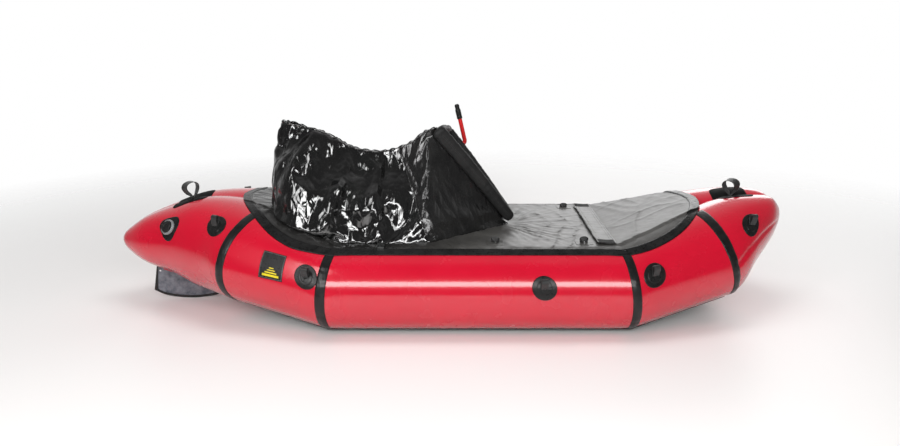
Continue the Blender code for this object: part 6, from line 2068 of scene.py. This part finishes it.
# %% Label
LABEL_PLACE, LABEL_SIZE, LABEL_TURN = ("stern_quarter", 0.50, 22.5), (0.088, 0.092), 5.0
BORDER = (0.0028, 0.0041)
STRIPES = [(-0.036, -0.029, 0.030), (-0.025, -0.021, 0.022), (-0.016, -0.013, 0.015), (-0.009, -0.006, 0.009)]
print_grey = make_moulded("grey_print", 0.14, 0.20, 0.4, 0.5, 0.2, 200.0)
print_yellow = make_moulded("yellow_print", (0.62, 0.50, 0.010), (0.75, 0.62, 0.020), 0.35, 0.45, 0.2, 200.0)


def make_label():
    """The label, with its border and its stripes as faces of other finishes."""
    u = np.linspace(-0.5, 0.5, 73) * LABEL_SIZE[0]
    v = np.linspace(-0.5, 0.5, 85) * LABEL_SIZE[1]
    vv, uu = np.meshgrid(v, u, indexing="ij")
    turn = math.radians(LABEL_TURN)
    forward = uu * math.cos(turn) - vv * math.sin(turn)
    upward = uu * math.sin(turn) + vv * math.cos(turn)
    edge = np.minimum(LABEL_SIZE[0] / 2 - np.abs(uu), LABEL_SIZE[1] / 2 - np.abs(vv))
    lift = 0.0010 + 0.0008 * np.clip(edge / 0.0018, 0.0, 1.0) ** 0.5
    points = on_panel(LABEL_PLACE, -1.0)(forward.ravel(), upward.ravel(), lift.ravel())
    inside = on_panel(LABEL_PLACE, -1.0)(np.zeros(1), np.zeros(1), np.full(1, -0.1))[0]
    made = piece("label_patch_print", points, grid(*uu.shape), patch_rubber, np.stack([uu, vv], -1), inside)
    made.data.materials.append(print_grey)
    made.data.materials.append(print_yellow)
    flat = made.data.uv_layers[0].data
    for face in made.data.polygons:
        a = sum(flat[i].uv[0] for i in face.loop_indices) / 4
        b = sum(flat[i].uv[1] for i in face.loop_indices) / 4
        gap = min(LABEL_SIZE[0] / 2 - abs(a), LABEL_SIZE[1] / 2 - abs(b))
        if BORDER[0] < gap < BORDER[1]:
            face.material_index = 1
        elif any(low < b < high and abs(a) < half for low, high, half in STRIPES):
            face.material_index = 2
    return placed(thicken(made, PATCH_WALL), "hull", "label_patch")


make_label()

# %% [markdown]
# ## The floor
# The floor is a heavier sheet glued under the tubes and a little way up them. From outside
# only its glued edge is seen, as a thin dark line along the quarters.

# %% Floor sheet
FLOOR_EDGE, FLOOR_SIDE = -62.0, 0.93      # angle of the glued edge, share of the half width


def make_floor():
    """The floor sheet; returns the area of its cloth."""
    rows = []
    places = [("stern_quarter", s) for s in np.linspace(0.927, 0.0, 26)[:-1]]
    places += [("side", s) for s in np.linspace(0.0, 1.0, 60)]
    places += [("bow_quarter", s) for s in np.linspace(0.0, 0.934, 26)[1:]]
    angle = np.linspace(FLOOR_EDGE, -90.0, 15)
    edge = np.clip((FLOOR_EDGE - angle) / 1.5, 0.25, 1.0)
    for chain, share in places:
        half = bare_skin(chain, np.full_like(angle, share), angle)
        half = half + skin_normal(chain, np.full_like(angle, share), angle) * (0.0009 + 0.0015 * edge)[:, None]
        half[:, 2] = np.maximum(half[:, 2], 0.0004)
        across = [half[-1] * (1.0, s, 1.0) for s in np.linspace(-FLOOR_SIDE, FLOOR_SIDE, 30)]
        rows.append(np.vstack([on_side(half, -1.0), across, half[::-1]]))
    points = np.array(rows)
    made = piece("floor_cloth", points, grid(*points.shape[:2]), dull_cloth, points[..., :2],
                 points + (0.0, 0.0, 1.0))
    area = sum(f.area for f in made.data.polygons)
    thicken(made, 0.0012, -1.0)
    placed(made, "hull", "floor_sheet")
    return area


floor_area = make_floor()
print("floor: ", round(floor_area, 3), "square metres of cloth")

# %% [markdown]
# ## Size against the frame
# The dressed boat's box is set against the engineering model's, where cloth may stand a little
# proud. How far the two differ on each axis is printed.

# %% Finish
size = {"cad": cad_box, "visual": [list(corner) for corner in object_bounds()]}
for axis in range(3):
    low, high = size["visual"][0][axis] - size["cad"][0][axis], size["visual"][1][axis] - size["cad"][1][axis]
    print("box:   ", "xyz"[axis], round(low * 1000, 1), round(high * 1000, 1), "mm from the frame's")
